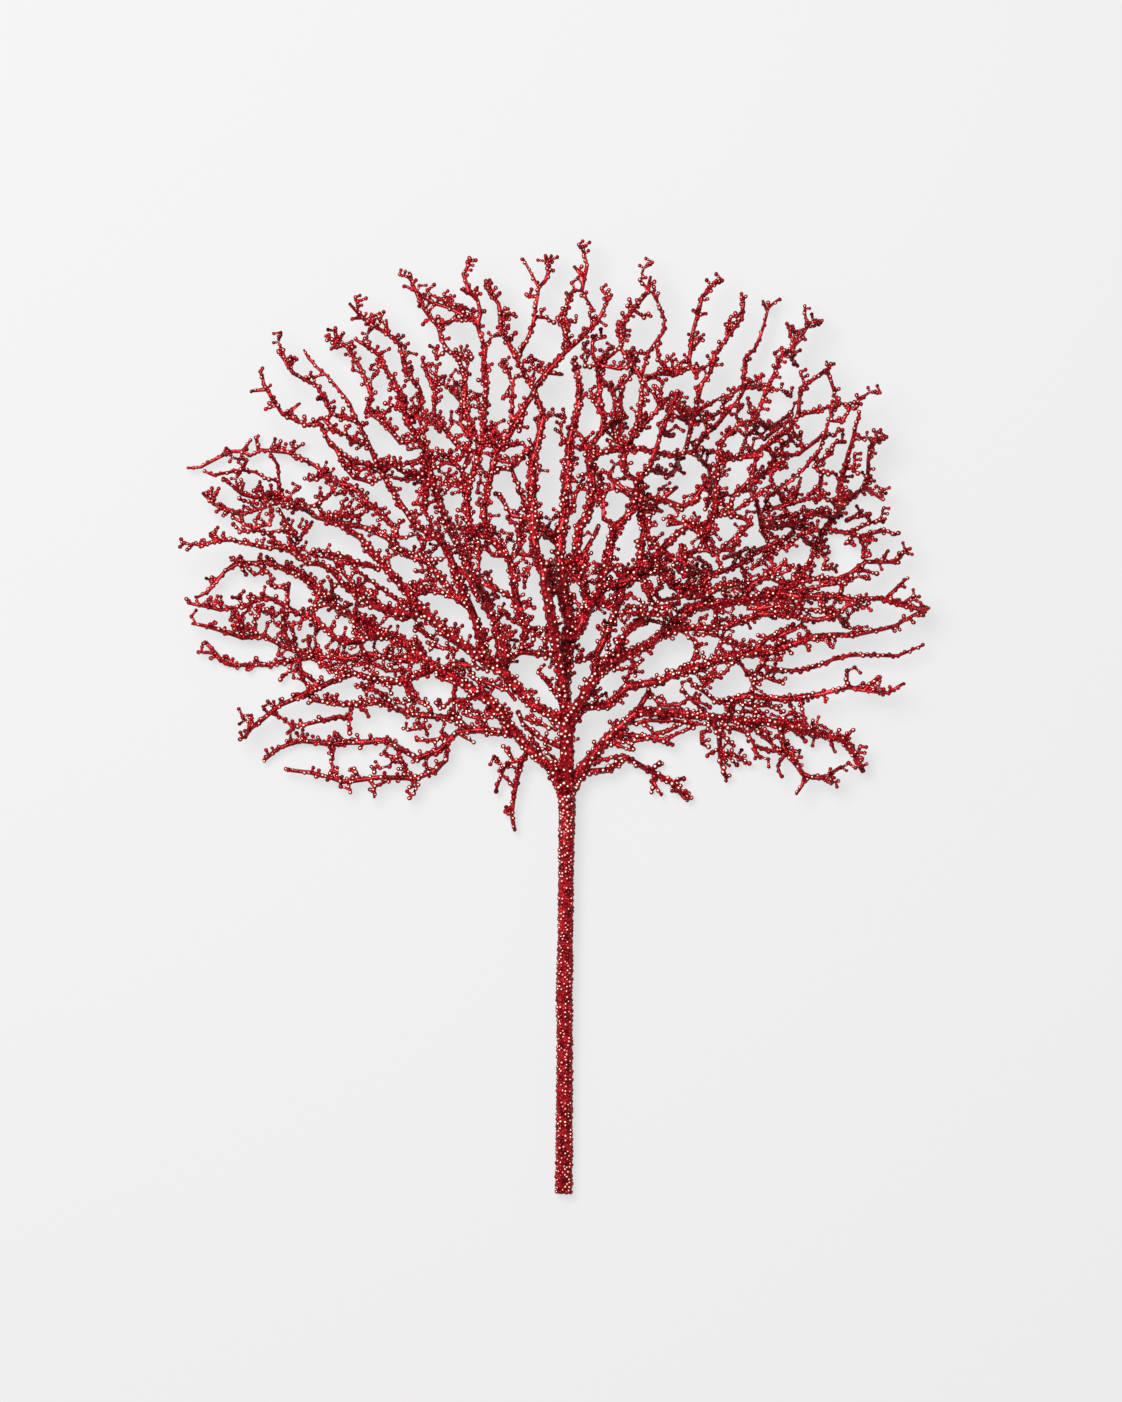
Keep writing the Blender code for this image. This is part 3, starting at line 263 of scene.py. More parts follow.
    [(97, 19), (104, 11)],
    [(52, 3), (58, -7)],
    [(152, 4), (162, 1)],
    [(120, 139), (125, 132), (120, 126)],
    [(64, 133), (71, 126), (84, 128)],
    [(79, 137), (87, 131)],
]
LACE_RADIUS = 1.5 * MM
LACE_SIDES = 6
LACE_TIP = 0.6            # size of its last point, where 1 is the full radius
LACE_LOWEST = 3 * MM      # none runs nearer the table than this
LACE_CORNERS = 12         # corners of the solids that tell how high a limb lies

# Copies of the solids carry the coat. Their corners are joined within JOIN, and edges longer
# than LONG_EDGE are split, up to EDGE_SPLITS times, so that the limbs can wander a little.
JOIN = 0.01 * MM
LONG_EDGE = 7 * MM
EDGE_SPLITS = 3
WAVE_SCALE = 60.0
WAVE_SIZE = (2.5 * MM, 2.5 * MM, 2.5 * MM)
CORE_CUT = 0.25 * MM      # how far the copies lie inside the solids

# Towards the fan's edge a copy thins down to EDGE_RADIUS, from the first of two reaches to the
# second. A reach of 1 is about a limb's length from the fork.
EDGE_RADIUS = 1.3 * MM
LIMB_SCALE = (1 / 0.225, 1 / 0.31, 0)
CUT_REACH = (0.6, 1.0)
STEM_TOP = FORK.y - 8 * MM

# The stem is a little wider at its cut end.
END_SWELL = 1.12
END_LENGTH = 6 * MM
TABLE_GAP = 0.1 * MM      # what rests on the table stays this far above it

# Beads of the coat: how far apart, and their least and greatest radius.
COAT_SPACING = 2.95 * MM
COAT_RADIUS = (1.4 * MM, 1.95 * MM)
STEM_SPACING = 1.8 * MM
STEM_RADIUS = (1.5 * MM, 2.25 * MM)      # before the taper, which reaches all of the stem
SINK = 0.45 * MM          # how deep beads, knobs and twigs sit in a limb
BEAD_SQUASH = (0.85, 1.0, 1.1, 0.95)     # height of the kinds of bead, where 1 is round
UNHIGHLIGHTED_BEADS = 2            # so many of these kinds have no painted highlight
COAT_SEGMENTS = 7
CREST_LIFT = (-0.12, 0.12, 0.5)          # turns their crests, which carry the painted highlight, from the limb towards the light
CREST_START = 0.3         # the painted highlight begins where a bead faces this much its crest's way
BEAD_RINGS = 4            # rings of faces from pole to pole

# Knobs and small twigs that stand out along the limbs: their length in millimetres, and how many
# smaller twigs grow on them.
KNOBS = ((2.2, 0), (3.2, 0), (3.4, 1), (4.6, 1), (2.6, 1))
TWIGS = ((7, 2), (9, 3), (11, 4), (8, 3), (13, 5))
KNOB_SPACING = 3.8 * MM
TWIG_SPACING = 16.0 * MM
FORM_SIZE = (0.75, 0.95)  # least and greatest of both, where 1 is as made

# The chain of beads that makes each of them, in millimetres and radians.
TWIG_SEGMENTS = 6
TWIG_STEP = 2.2
TWIG_BEAD = 1.45
TIP_BEAD = 1.85
BEAD_VARIES = (0.88, 1.12)
OFF_PLANE = 0.25
FIRST_LEAN = 0.3
LEAN_KEPT = 0.6           # share of a bead's lean that the next one takes over
LEAN_STRAY = 0.5
SIDE_STEP = (1.7, 1.0)    # across and along the twig
SIDE_BEAD = 1.3
SIDE_TIP = 1.65
SIDE_STEPS = (2, 2, 3)
PAINTED_HIGHLIGHT_EACH = 3          # every third bead carries a painted highlight

# Where knobs and twigs grow, and which way.
BARE_REACH = 22 * MM      # none grow this near the fork
SIDE_FACE = 0.85          # faces that look up or down more than this carry none
LEVEL_RUN = 0.32          # nor where a limb climbs: there its sides show less than this upward
RUN_ROUNDS = 4            # rounds of averaging with the corners next to it that tell of a climb
SPARSE_SHARE = 0.35       # the share of them that grows near the fork
SPARSE_REACH = (30 * MM, 150 * MM)
FLATNESS = 0.2            # how far they may lean out of the fan's plane
FORWARD_LEAN = 0.45       # how strongly they lean away from the fork
AIM_STRAY = (0.35, 0.35, 0.18)

# Z of the lowest direction they may point in, which is level at 4 mm above the table and falls
# with height. Along X and Y they are free.
LEAN_SLOPE = (0.0, 0.0, -100.0)
LEAN_LIMIT = (-9.0, -9.0, 0.4)

# Beads, knobs and twigs shrink to these shares of their size towards the fan's edge, from the
# first of two reaches to the second. A reach of 1 is the outline of an oval about FAN_MIDDLE.
COAT_TAPER = 0.7
KNOB_TAPER = 0.92
FAN_MIDDLE = FORK + Vector((0, 135 * MM, 0))
FAN_SCALE = (1 / 0.225, 1 / 0.175, 0)
TAPER_REACH = (0.8, 1.08)

# Fixed seeds: of the forms, of each scattering, and of the aim of knobs and twigs. A scattering
# draws sizes and kinds with seeds this far above its own.
FORM_SEED = 7
BEAD_SEED = 1
KNOB_SEED, KNOB_AIM_SEED = 2, 3
TWIG_SEED, TWIG_AIM_SEED = 4, 5
SIZE_SEED, KIND_SEED = 10, 20
MOST_PLACES = 1e6         # to a square metre, more than the spacings leave room for

# The red, from the hollows to the brightest patches: where each stands in the noise.
REDS = (
    (0.32, (0.05, 0.0005, 0.002, 1)),
    (0.5, (0.145, 0.003, 0.006, 1)),
    (0.72, (0.31, 0.012, 0.017, 1)),
)
PATCH_SCALE = 260.0
PATCH_DETAIL = 3.0
GRAIN_SCALE = 700.0
GRAIN_STRENGTH = 0.25
GRAIN_DEPTH = 0.6 * MM
GLOSS = {
    "Roughness": 0.22,
    "Metallic": 0.35,
    "Specular Tint": (0.9, 0.06, 0.06, 1),
    "Coat Weight": 0.1,
    "Coat Roughness": 0.06,
}

# Painted highlight on the bead crests: a pale pink that stands in for the key light's glints. It fades
# with the distance from the fork, apart from the stem.
PAINTED_HIGHLIGHT_COLOUR = (0.8, 0.43, 0.38, 1)
PAINTED_HIGHLIGHT_CREST = (0.64, 0.92)
PAINTED_HIGHLIGHT_FADE_REACH = (110 * MM, 230 * MM)
EDGE_PAINTED_HIGHLIGHT = 0.45       # how much of it is left at the edge
STEM_PAINTED_HIGHLIGHT = 0.55       # how much of it the stem shows

# The pale table, lifted by its own light to the white of the photograph's ground.
TABLE_SIZE = 14.0
TABLE_TOP = -0.2 * MM
TABLE_COLOUR = (0.07, 0.07, 0.071, 1)
TABLE_ROUGHNESS = 0.9
TABLE_GLOW = 9.6

SKY_COLOUR = (1.0, 1.0, 1.0, 1)
SKY_STRENGTH = 0.5
KEY_PLACE = (-0.8, 0.9, 2.3)
KEY_SIZE = 1.5
KEY_POWER = 168.0
KEY_COLOUR = (1.0, 0.95, 0.89)

CAMERA_LENS = 200.0       # a long lens, as in the photograph, so the fan shows no perspective
SENSOR = 36.0
CLIP_END = 100.0
VIEW_LENGTH = 0.8412      # what the picture's long side takes in, at the fan's middle height
VIEW_CENTRE = Vector((0.0013, 0.0126, 0.025))


class Wiring:
    """Adds nodes to a tree and joins them in few words."""

    def __init__(self, tree):
        self.tree = tree

    def feed(self, socket, value):
        """Give a socket a fixed value, or join another node's output to it."""
        if isinstance(value, bpy.types.NodeSocket):
            self.tree.links.new(value, socket)
        else:
            socket.default_value = value

    def add(self, kind, fed=(), **settings):
        """A new node with its settings. Each pair of fed is a socket's name or number, and
        what it gets. Of sockets with one name, it is the one in use."""
        node = self.tree.nodes.new(kind)
        for name, value in settings.items():
            setattr(node, name, value)
        for key, value in fed:
            self.feed(used(node.inputs, key), value)
        return node

    def maths(self, operation, first, second=None):
        """The outcome of one step of arithmetic."""
        node = self.add("ShaderNodeMath", [(0, first)], operation=operation)
        if second is not None:
            self.feed(node.inputs[1], second)
        return node.outputs[0]

    def vector(self, operation, first, second=None):
        """The outcome of one step of arithmetic with vectors."""
        node = self.add("ShaderNodeVectorMath", [(0, first)], operation=operation)
        if second is not None:
            self.feed(node.inputs[1], second)
        return node.outputs["Value" if operation in ("LENGTH", "DISTANCE") else "Vector"]

    def ramped(self, value, reach, start, end, **settings):
        """A number that goes from start to end as the value passes through the reach."""
        return self.add("ShaderNodeMapRange", [
            ("Value", value), ("From Min", reach[0]), ("From Max", reach[1]),
            ("To Min", start), ("To Max", end)], **settings).outputs["Result"]

    def place(self):
        """Where the point lies."""
        return self.add("GeometryNodeInputPosition").outputs["Position"]


def used(sockets, key=None):
    """A socket by its number, or the first one in use, of a name where one is given."""
    if isinstance(key, int):
        return sockets[key]
    return [socket for socket in sockets if socket.enabled and key in (None, socket.name)][0]


def as_form(name, shape):
    """The finished form as an object of its own, outside the scene."""
    mesh = bpy.data.meshes.new(name)
    shape.to_mesh(mesh)
    shape.free()
    mesh.shade_smooth()
    return bpy.data.objects.new(name, mesh)


def add_bead(shape, centre, radius, crest_way, painted_highlight, segments):
    """A round bead whose vertices know how near they lie to its crest, which carries a painted
    highlight if the bead has one.
    """
    crest = shape.verts.layers.float.get(PAINTED_HIGHLIGHT_ATTRIBUTE) or shape.verts.layers.float.new(PAINTED_HIGHLIGHT_ATTRIBUTE)
    made = bmesh.ops.create_uvsphere(shape, u_segments=segments, v_segments=BEAD_RINGS,
                                     radius=radius)
    for vert in made["verts"]:
        facing = vert.co.normalized().dot(crest_way)
        share = (facing - CREST_START) / (1 - CREST_START)
        vert[crest] = max(0.0, share) if painted_highlight else 0.0
        vert.co += centre


def bead(name, squash, painted_highlight):
    """A bead of the coat, a metre in radius, with its crest along Z."""
    shape = bmesh.new()
    add_bead(shape, Vector(), 1.0, Vector((0, 0, 1)), painted_highlight, COAT_SEGMENTS)
    for vert in shape.verts:
        vert.co.z *= squash
    return as_form(name, shape)


def bead_chain(name, places):
    """Overlapping beads along a twig, with their crests along Y, which comes to lie upward.
    Each place is x, y, z and radius in millimetres."""
    shape = bmesh.new()
    for number, (x, y, z, radius) in enumerate(places):
        painted_highlight = number % PAINTED_HIGHLIGHT_EACH == PAINTED_HIGHLIGHT_EACH - 1
        add_bead(shape, Vector((x, y, z)) * MM, radius * MM, Vector((0, 1, 0)), painted_highlight,
                 TWIG_SEGMENTS)
    return as_form(name, shape)


def growing_twig(rng, length, side_twigs):
    """Places of the beads of a crooked twig that grows along Z, flat in the XZ plane."""
    places = []
    x, z, lean = 0.0, 0.0, rng.uniform(-FIRST_LEAN, FIRST_LEAN)
    while z < length:
        places.append((x, rng.uniform(-OFF_PLANE, OFF_PLANE), z,
                       TWIG_BEAD * rng.uniform(*BEAD_VARIES)))
        lean = LEAN_KEPT * lean + rng.uniform(-LEAN_STRAY, LEAN_STRAY)
        x += math.sin(lean) * TWIG_STEP
        z += math.cos(lean) * TWIG_STEP
    places.append((x, 0.0, z, TIP_BEAD))
    for _ in range(side_twigs):
        root = places[rng.randrange(1, len(places))]
        side = rng.choice((-1, 1))
        steps = rng.choice(SIDE_STEPS)
        for step in range(1, steps + 1):
            places.append((root[0] + side * step * SIDE_STEP[0], root[1],
                           root[2] + step * SIDE_STEP[1],
                           SIDE_TIP if step == steps else SIDE_BEAD))
    return places


def small_forms():
    """Collections of the forms that the coat repeats: beads, knobs and twigs."""
    rng = random.Random(FORM_SEED)
    forms = {"beads": [bead(f"bead_{n}", squash, n >= UNHIGHLIGHTED_BEADS)
                       for n, squash in enumerate(BEAD_SQUASH)]}
    for name, kinds in (("knob", KNOBS), ("twig", TWIGS)):
        forms[name + "s"] = [bead_chain(f"{name}_{n}", growing_twig(rng, length, twigs))
                             for n, (length, twigs) in enumerate(kinds)]
    groups = {}
    for name, made in forms.items():
        groups[name] = bpy.data.collections.new(name)
        for form in made:
            groups[name].objects.link(form)
    return groups


def new_tree(name, inputs):
    """An empty geometry tree with a geometry input, named inputs and a geometry output."""
    tree = bpy.data.node_groups.new(name, "GeometryNodeTree")
    tree.interface.new_socket("Geometry", in_out="INPUT", socket_type="NodeSocketGeometry")
    for socket, kind, value in inputs:
        made = tree.interface.new_socket(socket, in_out="INPUT", socket_type=kind)
        made.default_value = value
    tree.interface.new_socket("Geometry", in_out="OUTPUT", socket_type="NodeSocketGeometry")
    return tree


def fork_distance(wiring):
    """Distance of a place from the fork."""
    return wiring.vector("LENGTH", wiring.vector("SUBTRACT", wiring.place(), tuple(FORK)))


def tapered(wiring, size, edge_size):
    """A size that falls off to a share of it at the fan's edge."""
    offset = wiring.vector("SUBTRACT", wiring.place(), tuple(FAN_MIDDLE))
    reach = wiring.vector("LENGTH", wiring.vector("MULTIPLY", offset, FAN_SCALE))
    return wiring.maths("MULTIPLY", size, wiring.ramped(reach, TAPER_REACH, 1.0, edge_size))


def scattered(wiring, surface, forms, spacing, seed, sizes, edge_size, rotation, wanted=None):
    """Forms scattered at least a spacing apart over the wanted faces of a surface, fewer of them
    near the fork, or over all of it. They are instances, sunk a little into the surface."""
    points = wiring.add("GeometryNodeDistributePointsOnFaces", [
        ("Mesh", surface), ("Distance Min", spacing), ("Density Max", MOST_PLACES),
        ("Seed", seed)], distribute_method="POISSON")
    if wanted is not None:
        wiring.feed(points.inputs["Selection"], wanted)
        wiring.feed(points.inputs["Density Factor"],
                    wiring.ramped(fork_distance(wiring), SPARSE_REACH, SPARSE_SHARE, 1.0))
    inward = wiring.vector("MULTIPLY", points.outputs["Normal"], (-SINK, -SINK, -SINK))
    sunk = wiring.add("GeometryNodeSetPosition", [
        ("Geometry", points.outputs["Points"]), ("Offset", inward)])
    size = wiring.add("FunctionNodeRandomValue", data_type="FLOAT")
    kind = wiring.add("FunctionNodeRandomValue", data_type="INT")
    for node, key, value in ((size, "Min", sizes[0]), (size, "Max", sizes[1]),
                             (size, "Seed", seed + SIZE_SEED),
                             (kind, "Min", 0), (kind, "Max", len(forms.objects) - 1),
                             (kind, "Seed", seed + KIND_SEED)):
        wiring.feed(used(node.inputs, key), value)
    source = wiring.add("GeometryNodeCollectionInfo", [
        ("Collection", forms), ("Separate Children", True), ("Reset Children", True)])
    return wiring.add("GeometryNodeInstanceOnPoints", [
        ("Points", sunk.outputs["Geometry"]), ("Instance", source.outputs["Instances"]),
        ("Pick Instance", True), ("Instance Index", used(kind.outputs)),
        ("Rotation", rotation), ("Scale", tapered(wiring, used(size.outputs), edge_size)),
    ]).outputs["Instances"]


def outward_rotation(wiring, normal, seed):
    """Turns a form's Z out of the limb, near the fan's plane and leaning away from the fork."""
    flat = wiring.vector("NORMALIZE", wiring.vector("MULTIPLY", normal, (1.0, 1.0, FLATNESS)))
    place = wiring.place()
    away = wiring.vector("SUBTRACT", place, tuple(FORK))
    away = wiring.vector("NORMALIZE", wiring.vector("MULTIPLY", away, (1.0, 1.0, 0.0)))
    away = wiring.vector("MULTIPLY", away, (FORWARD_LEAN, FORWARD_LEAN, FORWARD_LEAN))
    stray = wiring.add("FunctionNodeRandomValue", data_type="FLOAT_VECTOR")
    for key, value in (("Min", [-most for most in AIM_STRAY]), ("Max", AIM_STRAY),
                       ("Seed", seed)):
        wiring.feed(used(stray.inputs, key), value)
    aim = wiring.vector("ADD", wiring.vector("ADD", flat, away), stray.outputs["Value"])
    lowest = wiring.vector("ADD", wiring.vector("MULTIPLY", place, LEAN_SLOPE), LEAN_LIMIT)
    aim = wiring.vector("MAXIMUM", aim, lowest)
    upright = wiring.add("FunctionNodeAlignRotationToVector", [("Vector", aim)], axis="Z")
    level = wiring.add("FunctionNodeAlignRotationToVector", [
        ("Rotation", upright.outputs["Rotation"]), ("Vector", (0.0, 0.0, 1.0))],
        axis="Y", pivot_axis="Z")
    return level.outputs["Rotation"]


def limb_sides(wiring, normal, allowed):
    """Where knobs and twigs grow: on the sides of level runs, and not about the fork."""
    parts = wiring.add("ShaderNodeSeparateXYZ", [(0, normal)])
    steep = wiring.maths("ABSOLUTE", parts.outputs["Z"])
    run = wiring.add("GeometryNodeBlurAttribute", data_type="FLOAT")
    wiring.feed(used(run.inputs), steep)
    wiring.feed(run.inputs["Iterations"], RUN_ROUNDS)
    for value, operation, limit in ((steep, "LESS_THAN", SIDE_FACE),
                                    (fork_distance(wiring), "GREATER_THAN", BARE_REACH),
                                    (used(run.outputs), "GREATER_THAN", LEVEL_RUN)):
        test = wiring.add("FunctionNodeCompare", [("A", value), ("B", limit)],
                          operation=operation)
        both = wiring.add("FunctionNodeBooleanMath", [(0, allowed), (1, test.outputs[0])],
                          operation="AND")
        allowed = both.outputs[0]
    return allowed


def coat_tree(forms, material):
    """Beads all over a limb, with knobs and small twigs along its sides."""
    tree = new_tree("beaded_coat", [
        ("Coat Spacing", "NodeSocketFloat", COAT_SPACING),
        ("Bead Low", "NodeSocketFloat", COAT_RADIUS[0]),
        ("Bead High", "NodeSocketFloat", COAT_RADIUS[1]),
        ("Knob Spacing", "NodeSocketFloat", KNOB_SPACING),
        ("Twig Spacing", "NodeSocketFloat", TWIG_SPACING),
        ("Sides", "NodeSocketBool", True),
    ])
    wiring = Wiring(tree)
    given = wiring.add("NodeGroupInput").outputs
    normal = wiring.add("GeometryNodeInputNormal").outputs["Normal"]
    sides = limb_sides(wiring, normal, given["Sides"])
    waves = wiring.add("ShaderNodeTexNoise", [("Scale", WAVE_SCALE), ("Detail", 1.0)])
    bend = wiring.vector("SUBTRACT", waves.outputs["Color"], (0.5, 0.5, 0.5))
    surface = wiring.add("GeometryNodeSetPosition", [
        ("Geometry", given["Geometry"]), ("Offset", wiring.vector("MULTIPLY", bend, WAVE_SIZE)),
    ]).outputs["Geometry"]
    # Beads turn their crests, where the painted highlight sits, towards the key light.
    crests_up = wiring.add("FunctionNodeAlignRotationToVector", [
        ("Vector", wiring.vector("ADD", normal, CREST_LIFT))], axis="Z").outputs["Rotation"]
    parts = [
        surface,
        scattered(wiring, surface, forms["beads"], given["Coat Spacing"], BEAD_SEED,
                  (given["Bead Low"], given["Bead High"]), COAT_TAPER, crests_up),
        scattered(wiring, surface, forms["knobs"], given["Knob Spacing"], KNOB_SEED,
                  FORM_SIZE, KNOB_TAPER, outward_rotation(wiring, normal, KNOB_AIM_SEED), sides),
        scattered(wiring, surface, forms["twigs"], given["Twig Spacing"], TWIG_SEED,
                  FORM_SIZE, KNOB_TAPER, outward_rotation(wiring, normal, TWIG_AIM_SEED), sides),
    ]
    together = wiring.add("GeometryNodeJoinGeometry", [(0, part) for part in parts])
    real = wiring.add("GeometryNodeRealizeInstances", [(0, together.outputs[0])])
    smooth = wiring.add("GeometryNodeSetShadeSmooth", [(0, real.outputs[0])])
    painted = wiring.add("GeometryNodeSetMaterial", [
        (0, smooth.outputs[0]), ("Material", material)])
    wiring.add("NodeGroupOutput", [(0, painted.outputs[0])])
    return tree


def round_rod(shape, points, radius):
    """A closed rod through the points."""
    rings = []
    for at, point in enumerate(points):
        along = points[min(at + 1, len(points) - 1)] - points[max(at - 1, 0)]
        across = Vector((-along.y, along.x, 0)).normalized()
        over = along.cross(across).normalized()
        reach = radius * (LACE_TIP if at == len(points) - 1 else 1.0)
        rings.append([shape.verts.new(
            point + reach * (math.cos(turn) * across + math.sin(turn) * over))
            for turn in (2 * math.pi * side / LACE_SIDES for side in range(LACE_SIDES))])
    for near, far in zip(rings, rings[1:]):
        for side in range(LACE_SIDES):
            after = (side + 1) % LACE_SIDES
            shape.faces.new((near[side], near[after], far[after], far[side]))
    shape.faces.new(rings[0][::-1])
    shape.faces.new(rings[-1])


def lace_by_node():
    """The fine branches in metres at the height of the limbs they join, by carrying node."""
    corners = [(node, vert.co) for node in sorted(frame["nodes"])
               for vert in frame["nodes"][node].data.vertices]
    near = KDTree(len(corners))
    for number, (_, place) in enumerate(corners):
        near.insert((place.x, place.y, 0.0), number)
    near.balance()

    def limb_at(place):
        """The nearest node, and the mean height of its corners there."""
        found = [corners[number] for _, number, _ in near.find_n(place, LACE_CORNERS)]
        heights = [corner.z for node, corner in found if node == found[0][0]]
        return found[0][0], sum(heights) / len(heights)

    carried = {}
    for route in LACE:
        points = [FORK + Vector((x, y, 0)) * MM for x, y in route]
        node, start = limb_at(points[0])
        end = limb_at(points[-1])[1]
        for at, point in enumerate(points):
            share = at / (len(points) - 1)
            point.z = max(start + (end - start) * share, LACE_LOWEST)
        carried.setdefault(node, []).append(points)
    return carried


def widen_end(shape):
    """Widen the cut end of the stem."""
    end = min(vert.co.y for vert in shape.verts)
    for vert in shape.verts:
        if vert.co.y < end + END_LENGTH:
            near = [v.co for v in shape.verts if abs(v.co.y - vert.co.y) < MM]
            axis = sum(near, Vector()) / len(near)
            vert.co.x = axis.x + END_SWELL * (vert.co.x - axis.x)


def edge_share(place):
    """Nought on the stem and about the fork, rising to one at the fan's edge."""
    if place.y < STEM_TOP and abs(place.x - FORK.x) < BARE_REACH:
        return 0.0
    reach = ((place - FORK) * Vector(LIMB_SCALE)).length
    return min(max((reach - CUT_REACH[0]) / (CUT_REACH[1] - CUT_REACH[0]), 0.0), 1.0)


def limb_core(node, fine_branches):
    """A closed, joined-up copy of a solid limb, thinned, with its fine branches."""
    shape = bmesh.new()
    shape.from_mesh(frame["nodes"][node].data)
    bmesh.ops.remove_doubles(shape, verts=shape.verts, dist=JOIN)
    for points in fine_branches:
        round_rod(shape, points, LACE_RADIUS)
    bmesh.ops.recalc_face_normals(shape, faces=shape.faces)
    shape.normal_update()
    inside = BVHTree.FromBMesh(shape)
    cuts = []
    for vert in shape.verts:
        across = inside.ray_cast(vert.co - vert.normal * CORE_CUT, -vert.normal)[3] or 0.0
        spare = max(across / 2 - EDGE_RADIUS, 0.0)
        cuts.append(CORE_CUT + edge_share(vert.co) * spare)
    for vert, cut in zip(shape.verts, cuts):
        vert.co -= vert.normal * cut
    if node == "stem":
        widen_end(shape)
    for _ in range(EDGE_SPLITS):
        long_edges = [edge for edge in shape.edges if edge.calc_length() > LONG_EDGE]
        bmesh.ops.subdivide_edges(shape, edges=long_edges, cuts=1)
    bmesh.ops.triangulate(shape, faces=shape.faces)
    mesh = bpy.data.meshes.new(node + "_core")
    shape.to_mesh(mesh)
    shape.free()
    core = bpy.data.objects.new(node + "_core", mesh)
    bpy.context.scene.collection.objects.link(core)
    return core


def coated(core, name, tree, values):
    """The limb with its coat as one plain mesh."""
    modifier = core.modifiers.new("coat", "NODES")
    modifier.node_group = tree
    for item in tree.interface.items_tree:
        if item.in_out == "INPUT" and item.name in values:
            modifier[item.identifier] = values[item.name]
    bpy.context.view_layer.update()
    mesh = bpy.data.meshes.new_from_object(
        core.evaluated_get(bpy.context.evaluated_depsgraph_get()))
    bpy.data.objects.remove(core)
    for vert in mesh.vertices:
        vert.co.z = max(vert.co.z, TABLE_GAP)
    mesh.name = name
    piece = bpy.data.objects.new(name, mesh)
    bpy.context.scene.collection.objects.link(piece)
    return piece


def painted_highlight_amount(wiring, place):
    """How much painted highlight a place shows: on the crests, less towards the edge and on the stem.
    """
    crest = wiring.add("ShaderNodeAttribute", attribute_name=PAINTED_HIGHLIGHT_ATTRIBUTE).outputs["Fac"]
    painted_highlight = wiring.ramped(crest, PAINTED_HIGHLIGHT_CREST, 0.0, 1.0, interpolation_type="SMOOTHSTEP")
    strength = wiring.ramped(wiring.vector("DISTANCE", place, FORK), PAINTED_HIGHLIGHT_FADE_REACH,
                             1.0, EDGE_PAINTED_HIGHLIGHT)
    parts = wiring.add("ShaderNodeSeparateXYZ", [(0, place)])
    on_stem = wiring.maths("LESS_THAN", parts.outputs["Y"], STEM_TOP)
    strength = wiring.add("ShaderNodeMix", [
        ("Factor", on_stem), ("A", strength), ("B", STEM_PAINTED_HIGHLIGHT)], data_type="FLOAT")
    return wiring.maths("MULTIPLY", painted_highlight, used(strength.outputs))


def coral_material():
    """Deep glossy crimson in fine patches, with a painted highlight on the crests and a fine grain."""
    material = bpy.data.materials.new("beaded_coral")
    material.use_nodes = True
    wiring = Wiring(material.node_tree)
    shader = material.node_tree.nodes["Principled BSDF"].inputs
    place = wiring.add("ShaderNodeTexCoord").outputs["Object"]
    patches = wiring.add("ShaderNodeTexNoise", [
        ("Vector", place), ("Scale", PATCH_SCALE), ("Detail", PATCH_DETAIL)])
    ramp = wiring.add("ShaderNodeValToRGB", [("Fac", patches.outputs["Fac"])])
    stops = ramp.color_ramp.elements
    stops.new(REDS[1][0])
    for stop, (position, colour) in zip(stops, REDS):
        stop.position, stop.color = position, colour
    # Painted highlight: a pale pink mixed into the red on the bead crests, where the key light would
    # glint.
    red_with_painted_highlight = wiring.add("ShaderNodeMix", [
        ("Factor", painted_highlight_amount(wiring, place)), ("A", ramp.outputs["Color"]),
        ("B", PAINTED_HIGHLIGHT_COLOUR)], data_type="RGBA")
    grain = wiring.add("ShaderNodeTexVoronoi", [("Vector", place), ("Scale", GRAIN_SCALE)])
    bump = wiring.add("ShaderNodeBump", [
        ("Strength", GRAIN_STRENGTH), ("Distance", GRAIN_DEPTH),
        ("Height", grain.outputs["Distance"])])
    wiring.feed(shader["Base Color"], used(red_with_painted_highlight.outputs))
    wiring.feed(shader["Normal"], bump.outputs["Normal"])
    for socket, value in GLOSS.items():
        shader[socket].default_value = value
    return material


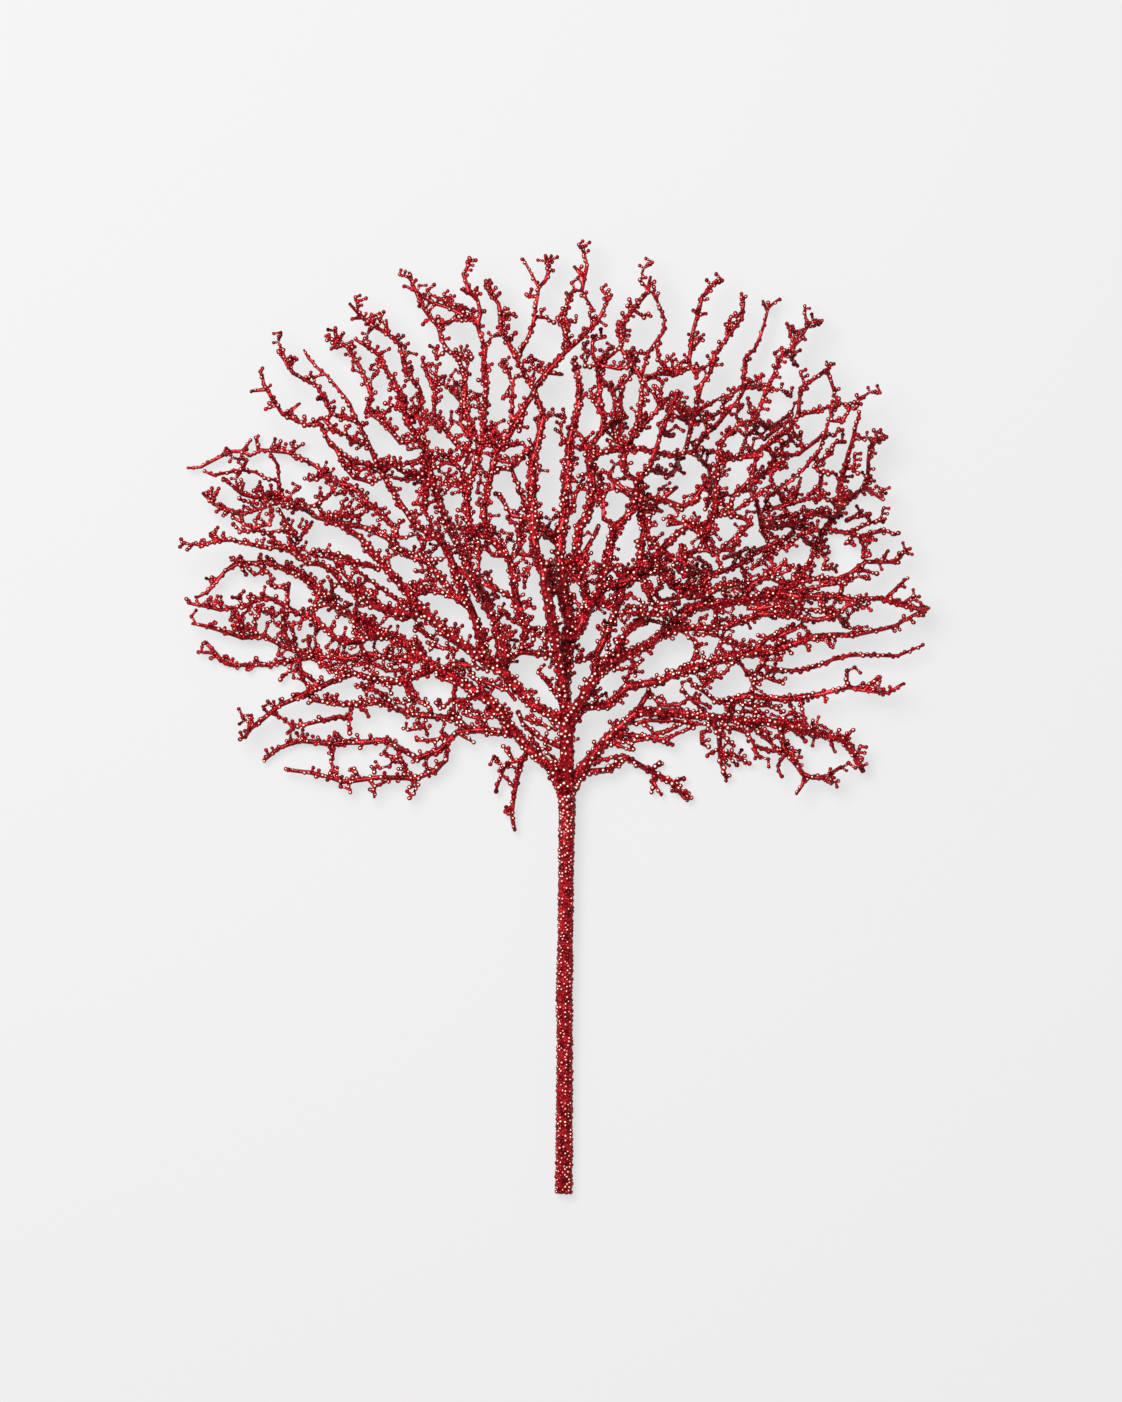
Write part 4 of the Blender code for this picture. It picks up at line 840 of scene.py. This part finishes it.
def table_material():
    """The pale, dull surface of the table."""
    material = bpy.data.materials.new("pale_table")
    material.use_nodes = True
    shader = material.node_tree.nodes["Principled BSDF"].inputs
    for socket, value in (("Base Color", TABLE_COLOUR), ("Roughness", TABLE_ROUGHNESS),
                          ("Emission Color", TABLE_COLOUR), ("Emission Strength", TABLE_GLOW)):
        shader[socket].default_value = value
    return material


def floor():
    """The pale table that the spray lies on."""
    bpy.ops.mesh.primitive_plane_add(size=TABLE_SIZE, location=(0, 0, TABLE_TOP))
    table = bpy.context.object
    table.name = "table_top"
    table.data.materials.append(table_material())


def studio():
    """Soft light from all round, and a small warm key light at the upper left."""
    world = bpy.data.worlds.new("studio")
    bpy.context.scene.world = world
    world.use_nodes = True
    sky = world.node_tree.nodes["Background"].inputs
    sky["Color"].default_value = SKY_COLOUR
    sky["Strength"].default_value = SKY_STRENGTH
    light = bpy.data.lights.new("key", "AREA")
    light.size = KEY_SIZE
    light.energy = KEY_POWER
    light.color = KEY_COLOUR
    lamp = bpy.data.objects.new("key", light)
    lamp.location = KEY_PLACE
    lamp.rotation_euler = (VIEW_CENTRE - Vector(KEY_PLACE)).to_track_quat("-Z", "Y").to_euler()
    bpy.context.scene.collection.objects.link(lamp)


def camera():
    """Straight above the fan, as the photograph faces it."""
    lens = bpy.data.cameras.new("camera")
    lens.lens = CAMERA_LENS
    lens.sensor_width = SENSOR
    lens.sensor_fit = "AUTO"
    lens.clip_end = CLIP_END
    view = bpy.data.objects.new("camera", lens)
    distance = VIEW_LENGTH * CAMERA_LENS / SENSOR
    view.location = VIEW_CENTRE + Vector((0, 0, distance))
    bpy.context.scene.collection.objects.link(view)
    bpy.context.scene.camera = view


bpy.context.scene.view_settings.view_transform = "Standard"
camera()
studio()
floor()
lace = lace_by_node()
tree = coat_tree(small_forms(), coral_material())
for node in sorted(frame["nodes"]):
    values = {}
    if node == "stem":
        values = {"Coat Spacing": STEM_SPACING, "Bead Low": STEM_RADIUS[0],
                  "Bead High": STEM_RADIUS[1], "Sides": False}
    piece = coated(limb_core(node, lace.get(node, [])), node + "_beaded", tree, values)
    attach(piece, "root")
    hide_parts(node)
